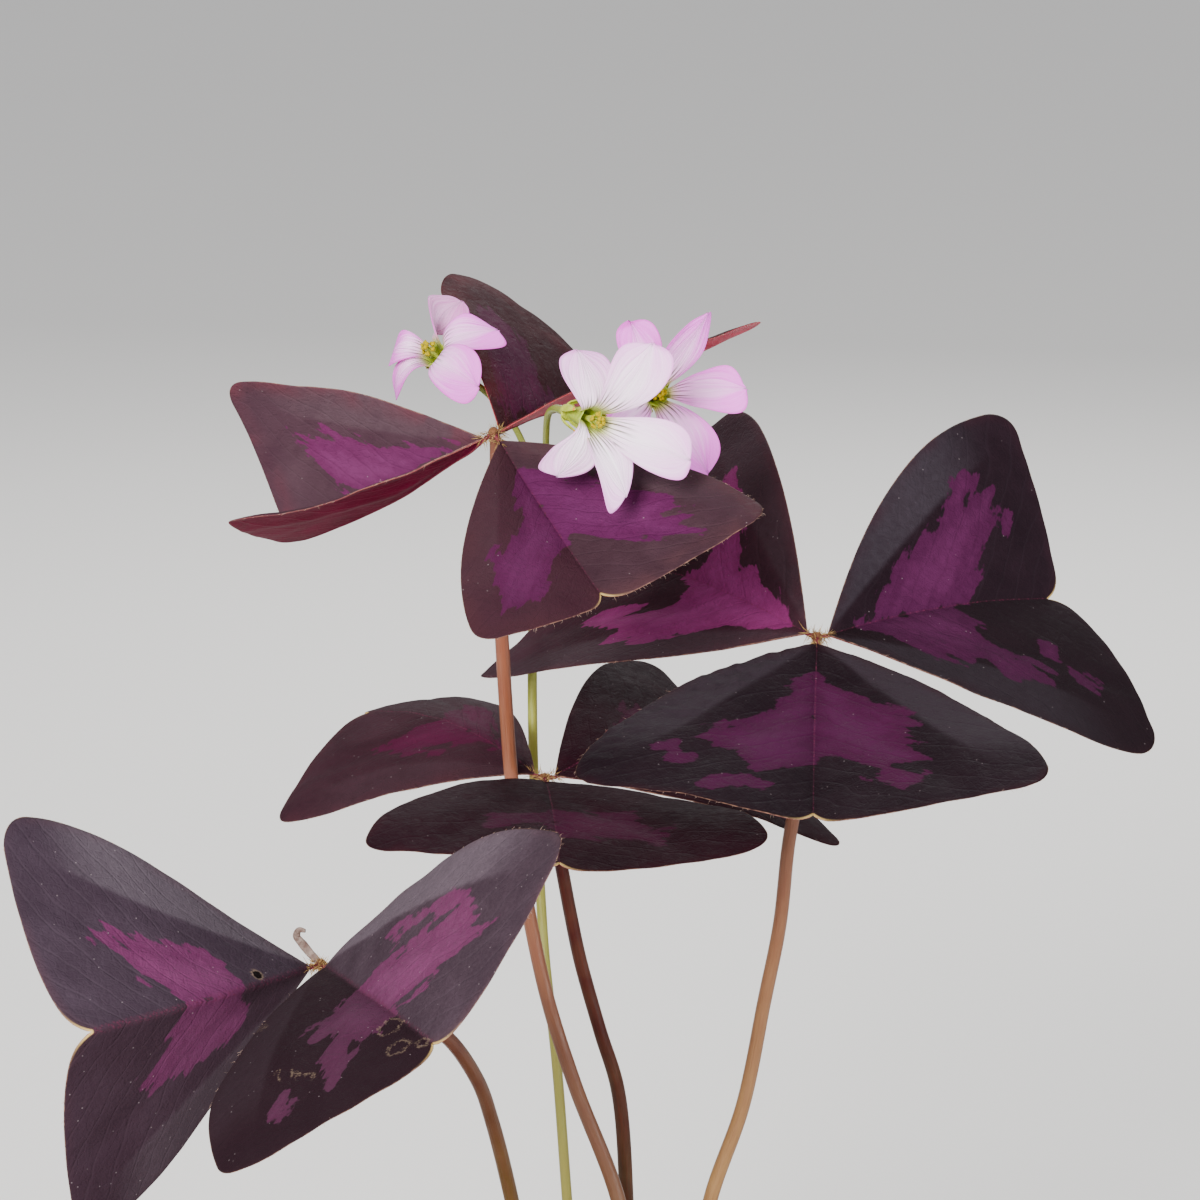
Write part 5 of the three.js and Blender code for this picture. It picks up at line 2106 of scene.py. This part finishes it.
MARKS = {
    "top_left": Markings((
        (5, 15, 13, 27, 8, 20),
        (10, 30, 20, 40, 27, 50, 35, 62, 43, 70, 30, 60, 38, 72, 47, 87, 38, 83, 28, 77, 20, 75, 12, 68,
         7, 58, 8, 42),
        (-10, 30, -27, 50, -35, 62, -30, 70, -12, 62, -5, 45),
    )),
    "top_front": Markings((
        TOP_LEAF_PATCH,
        (0, 20, -10, 30, -20, 40, -30, 55, -42, 68, -47, 72, -42, 78, -50, 86, -42, 88, -50, 96, -35, 88,
         -30, 82, -20, 75, -13, 65, -6, 60, 0, 63),
    )),
    "top_back": Markings((
        (-3, 16, -12, 22, -25, 34, -34, 44, -44, 56, -50, 74, -38, 72, -25, 64, -12, 55, -2, 50),
        (10, 30, 20, 40, 30, 50, 42, 65, 35, 68, 25, 60, 15, 50, 5, 50),
    )),
    "right_back": Markings((
        (0, 8, -5, 10, -10, 20, -15, 30, -25, 38, -40, 50, -33, 52, -42, 58, -35, 62, -35, 75, -28, 68,
         -22, 55, -15, 47, -5, 45, 0, 50),
        (0, 10, 8, 20, 5, 25, 10, 30, 8, 35, 20, 40, 25, 42, 45, 65, 10, 45, 0, 50),
    )),
    "right_side": Markings((
        (0, 22, -10, 30, -20, 37, -25, 45, -30, 55, -37, 62, -52, 73, -52, 80, -40, 72, -45, 87, -30, 78,
         -20, 70, -10, 62, 0, 55),
        (0, 12, 8, 20, 18, 30, 30, 42, 30, 48, 27, 50, 40, 55, 42, 62, 30, 60, 20, 55, 10, 52, 0, 50),
    ), ((-0.35, 0.9, -0.3, 0.86, 0.008), (0.35, 0.65, 0.42, 0.7, 0.012), (0.28, 0.8, 0.32, 0.73, 0.01),
        (0.43, 0.85, 0.5, 0.9, 0.01))),
    "right_front": Markings((
        (0, 18, -10, 30, -20, 40, -30, 47, -35, 56, -28, 60, -33, 70, -38, 76, -25, 78, -20, 74, -10, 65,
         0, 63),
        (-38, 88, -30, 93, -20, 80),
        (0, 18, 6, 27, 12, 38, 18, 50, 28, 60, 36, 70, 28, 76, 20, 82, 10, 75, 0, 66),
    ), ((0.2, 0.9, 0.36, 0.97, 0.01), (0.46, 0.83, 0.48, 0.85, 0.03))),
    "middle_left": Markings((
        (0, 25, -5, 35, -10, 40, -20, 50, -30, 70, -20, 65, -8, 55, 0, 50),
        (0, 25, 20, 40, 35, 50, 30, 60, 10, 55, 0, 50),
    ), ((-0.27, 0.53, -0.2, 0.43, 0.012),)),
    "middle_back": Markings((
        (0, 30, 15, 40, 30, 55, 25, 62, 10, 55, 0, 52),
        (0, 30, -15, 40, -30, 55, -25, 62, -10, 55, 0, 52),
    )),
    "middle_front": Markings((
        (0, 48, -10, 50, -20, 55, -28, 60, -33, 68, -33, 75, -42, 80, -40, 90, -28, 82, -15, 77, 0, 70),
        (0, 45, 5, 55, 15, 62, 25, 68, 30, 78, 15, 70, 0, 62),
    )),
    "low_left": Markings((
        (0, 40, -13, 34, -17, 42, -20, 50, -25, 60, -27, 77, -20, 68, -10, 65, 0, 60),
        (0, 38, 10, 40, 17, 42, 20, 55, 28, 62, 33, 80, 25, 72, 15, 73, 10, 65, 0, 58),
    ), holes=((0.035, 0.27, 0.017),)),
    "low_front": Markings((
        (0, 40, -10, 45, -15, 53, -25, 60, -33, 70, -43, 77, -38, 80, -42, 90, -30, 83, -15, 78, -5, 70,
         0, 65),
        (0, 40, 10, 45, 22, 53, 25, 58, 20, 62, 28, 75, 35, 90, 22, 78, 18, 70, 10, 75, 5, 70, 0, 70),
    ), ((0.48, 0.86, 0.54, 0.9, 0.012), (-0.45, 0.73, -0.36, 0.62, 0.008),
        (-0.32, 0.56, -0.2, 0.45, 0.006)), ((0.42, 0.72, 0.03), (0.38, 0.78, 0.028), (0.05, 0.76, 0.04),
        (0.09, 0.9, 0.035), (0.02, 0.94, 0.02), (0.34, 0.3, 0.02))),
}


def leaves() -> tuple[Leaf, ...]:
    """The four leaves."""
    top = Leaf(
        "top",
        ((7, -2, 75), (5.5, -1, 95), (2.5, 1, 112.8), (-3.4, 4, 128.4), (-7.1, 7, 139.6), (-9.5, 9, 150.5),
         (-11, 10, 160.2), (-12, 9.5, 171.7), (-12.6, 7.2, 183), (-13.1, 4, 197), (-13.6, 0, 220.2)),
        Stem("petiole, top leaf", stops=(
            (0.0, 70, 50, 26), (0.3, 80, 50, 30), (0.55, 116, 68, 46), (0.8, 118, 66, 46),
            (0.96, 112, 60, 42), (1.0, 74, 32, 24))),
        (
            Leaflet("left", 156.1, -30.8, 23, 45, -21.7, 32.3, Half(0.93, 63.6, -3.9), Half(0.63, 2.4, -17.6),
                    MARKS["top_left"], TOP_FACE, under=SHADED_UNDER),
            Leaflet("front", -59, -30, -19, 18, -12, 30, Half(0.73, -26, -8), Half(0.98, -12, -14),
                    MARKS["top_front"], FRONT_FACE),
            Leaflet("back", 64.2, -3.9, -7.2, 43.8, 12.2, 31.7, Half(1.02, -13, -3.9),
                    Half(1.18, -30.4, -2.8), MARKS["top_back"], BACK_FACE, under=GLOWING_UNDER),
        ), seed=1,
    )
    right = Leaf(
        "right",
        ((11, 3, 75), (13, 3.5, 96), (15.2, 4, 111.3), (19.6, 5, 125), (22.4, 5.5, 140.2), (24.3, 4.8, 151.6),
         (25.3, 4.6, 163), (26.6, 5, 171), (28.2, 6.4, 180), (28.8, 8, 190.8)),
        Stem("petiole, right leaf", stops=(
            (0.0, 122, 94, 52), (0.4, 128, 94, 54), (0.75, 104, 62, 40), (1.0, 84, 42, 30))),
        (
            Leaflet("back", 134, 4, 43, 6, 50, 40, Half(0.95, -24, 14), Half(0.8, 10, 12),
                    MARKS["right_back"], RIGHT_BACK),
            Leaflet("side", 30, 0, -38, 13, 24, 38, Half(0.92, -25, 4), Half(0.95, 10, -5),
                    MARKS["right_side"], RIGHT_SIDE),
            Leaflet("front", -94, -18, 4, 22, -12, 39, Half(0.98, -29, -9), Half(0.96, -7, -10),
                    MARKS["right_front"], RIGHT_FRONT, crinkle=0.009),
        ), seed=2,
    )
    middle = Leaf(
        "middle",
        ((3, 5, 75), (3.9, 6, 94), (3.7, 7, 109.9), (2.5, 8.5, 125.7), (0, 10, 134), (-2.7, 11, 143.9),
         (-4, 11.5, 150.3), (-5.2, 12, 156.9), (-6.5, 12, 163.8), (-7.5, 12, 169.8)),
        Stem("petiole, middle leaf", specular=0.12, flush=(84, 20, 14), stops=(
            (0.0, 44, 36, 16), (0.4, 48, 30, 15), (0.72, 52, 8, 8), (1.0, 46, 6, 8))),
        (
            Leaflet("left", 148, 8, 7, -10, 52, 30, Half(0.96, -12, -11), Half(1.01, -16, -3),
                    MARKS["middle_left"], MID_FACE),
            Leaflet("back", 34, -2, -14, -3, 56, 32, Half(1.03, 0, -5), Half(0.95, 13, -8),
                    MARKS["middle_back"], MID_FRONT),
            Leaflet("front", -86, -1, 9, 12, 14, 33, Half(0.95, -24, -7), Half(1.03, 11, -9),
                    MARKS["middle_front"], MID_FRONT),
        ), seed=3,
    )
    low = Leaf(
        "low",
        ((-5, -5, 75), (-8.5, -7, 98), (-11.7, -11, 118.4), (-14.1, -16, 132.1), (-15.8, -19, 139),
         (-19.5, -23, 146.6), (-22.8, -25, 149.5), (-27, -27, 152.8), (-31.2, -28.5, 156),
         (-34.7, -30, 159.2)),
        Stem("petiole, lowest leaf", stops=(
            (0.0, 62, 52, 20), (0.5, 72, 54, 20), (0.72, 72, 36, 18), (1.0, 74, 26, 20))),
        (
            Leaflet("left", 225, 2, 72, -34, 32, 35, Half(1.03, 19, -3), Half(1.05, 10, -16),
                    MARKS["low_left"], LOW_FACE),
            Leaflet("front", -65, 5, -36, 22, 16, 37, Half(0.98, -10, -10), Half(0.97, -3, -9),
                    MARKS["low_front"], LOW_FRONT),
        ), seed=4,
    )
    return top, right, middle, low


UMBEL = (-7.7, 19, 206.9)
PEDICELS = (
    (UMBEL, (-9.4, 20, 212), (-11.3, 20, 216.4), (-13.4, 19.2, 219.6), (-15.8, 18.3, 222.3),
     (-17.9, 17.9, 223.6)),
    (UMBEL, (-7.1, 11, 213.9), (-7, 5, 218.8), (-6.6, 0, 222.6), (-5.7, -3.6, 224.1), (-4.5, -6.3, 224.4)),
    (UMBEL, (-4.7, 15, 213), (-2, 12.4, 217), (1.4, 11.9, 220.2), (4.0, 11.0, 221.8), (5.9, 8.6, 223.0)),
)
SCAPE = (
    (-2, 9, 75), (-3.4, 10, 92), (-4.6, 11, 108), (-6.1, 15, 127.4), (-7.7, 20.5, 140.2), (-8.4, 25, 149),
    (-9.3, 31.5, 162.2), (-9.6, 35.5, 172), (-9.5, 36.8, 183.9), (-8.7, 30, 197), UMBEL,
)


def flowers() -> tuple[Flower, ...]:
    """The three flowers of the umbel."""
    left = Flower("left", (-22.6, 13.2, 228.7), -137, 38, (
        PetalForm(37, 37, 110, 11.3, 10, 2.9, 1.6),
        PetalForm(109, 109, 112, 11, -150, 3.0, 0.6, claw=0.5),
        PetalForm(181, 197, 92, 6, 0, 2.6),
        PetalForm(253, 240, 105, 8, 10, 2.2),
        PetalForm(325, 344, 100, 12, 0, 3.3, 0.9, claw=0.45, point=-0.15),
    ), PINK_FACE)
    middle = Flower("middle", (-0.3, -13, 224.5), -58, 1, (
        PetalForm(38, 64, 65, 12.3, -30, 3.6, 0.3),
        PetalForm(110, 97, 112, 9, 0, 3.4, -0.3),
        PetalForm(182, 238, 112, 10, 20, 3.0, 1.6, claw=0.35, waist=0.5),
        PetalForm(254, 272, 59, 12.7, 10, 2.7, 2.4, claw=0.7, point=-0.2),
        PetalForm(326, 331, 46, 13, 0, 3.4, 0.6),
    ), sepal_width=0.5, foot=0.7, depth=6.4)
    right = Flower("right", (7.5, 0.5, 225.3), -79, 16, (
        PetalForm(0, -2, 58, 12.2, 0, 2.6, 0.6, claw=0.5, point=-0.4),
        PetalForm(72, 60, 66, 13, 50, 2.9, 1.0, point=0.7),
        PetalForm(144, 113, 76, 9.8, 0, 2.8),
        PetalForm(216, 212, 70, 11.5, 0, 3.2),
        PetalForm(288, 298, 85, 12.5, 0, 3.3, 0.6),
    ), PINK_FACE)
    return left, middle, right


# ---- the studio ----


@dataclass(frozen=True)
class Lamp:
    """A square soft light: where it hangs and how wide it is, in millimetres, its watts and its tint."""

    name: str
    place: Point
    size: float
    power: float
    tint: Point


@dataclass
class Studio:
    """A pale floor, soft lights and the camera. Distances in millimetres, the elevation in degrees."""

    target: Point = (0.0, 0.0, 198.0)
    distance: float = 433.0
    elevation: float = 15.0
    lens: float = 100.0
    film: float = 36.0
    floor_reach: float = 9000.0
    floor_height: float = -0.02
    sky: Colour = (236, 237, 240)
    sky_strength: float = 0.9
    lamps: tuple[Lamp, ...] = (
        Lamp("key", (-380.0, -900.0, 640.0), 420.0, 26.0, (1.0, 0.985, 0.96)),
        Lamp("fill", (700.0, -600.0, 360.0), 600.0, 7.0, (0.96, 0.98, 1.0)),
        Lamp("back", (120.0, 800.0, 700.0), 500.0, 6.0, (1.0, 1.0, 1.0)),
    )

    def facing(self, place: Point) -> Quaternion:
        """The turn that points an object's -Z from a place at the target."""
        return (Vector(self.target) - Vector(place)).to_track_quat("-Z", "Y")

    def hang(self, lamp: Lamp) -> None:
        """Hangs a lamp so that it faces the plant."""
        light = bpy.data.lights.new(lamp.name, "AREA")
        light.shape, light.size = "SQUARE", lamp.size * METRES
        light.energy, light.color = lamp.power, lamp.tint
        made = bpy.data.objects.new(lamp.name, light)
        made.location = Vector(lamp.place) * METRES
        made.rotation_euler = self.facing(lamp.place).to_euler()
        bpy.context.scene.collection.objects.link(made)

    def floor(self) -> None:
        """A wide flat sheet of pale paper just under the pot, in squares that face up."""
        side = np.linspace(-self.floor_reach, self.floor_reach, 61)
        x, y = np.meshgrid(side, side)
        points = np.stack([x, y, np.full_like(x, self.floor_height)], -1).reshape(-1, 3)
        sheet = Shell(points, [(grid_quads(np.arange(x.size).reshape(x.shape))[:, ::-1], 0)])
        sheet.piece("studio_floor", [Paper("floor paper", 0.9, 0.2)])

    def camera(self) -> None:
        """The camera, level with its frame and looking a little down."""
        lean = np.radians(self.elevation)
        place = np.array(self.target) + self.distance * np.array([0, -np.cos(lean), np.sin(lean)])
        data = bpy.data.cameras.new("camera")
        data.lens, data.sensor_width, data.clip_start, data.clip_end = self.lens, self.film, 0.01, 100.0
        camera = bpy.data.objects.new("camera", data)
        camera.location = place * METRES
        camera.rotation_euler = (np.pi / 2 - lean, 0, 0)
        bpy.context.scene.collection.objects.link(camera)
        bpy.context.scene.camera = camera

    def surround(self) -> None:
        """A pale even sky."""
        world = bpy.data.worlds.new("surround")
        world.use_nodes = True
        back = world.node_tree.nodes["Background"]
        back.inputs["Color"].default_value = linear(self.sky)
        back.inputs["Strength"].default_value = self.sky_strength
        bpy.context.scene.world = world

    def build(self) -> None:
        """Sets up floor, surround, lights and camera."""
        self.floor()
        self.surround()
        for lamp in self.lamps:
            self.hang(lamp)
        self.camera()


def main() -> None:
    """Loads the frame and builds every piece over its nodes."""
    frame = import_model()
    LOG.info("frame: %d nodes", len(frame["nodes"]))
    pot = Pot()
    pot.build()
    Soil(pot).build()
    for leaf in leaves():
        leaf.build()
        if leaf.name == "low":
            WitheredLeaflet(leaf.hub).build()
    FlowerStalk(SCAPE, PEDICELS).build()
    for flower in flowers():
        flower.build()
    Studio().build()


if __name__ == "__main__":
    logging.basicConfig(level=logging.INFO, format="%(message)s")
    main()
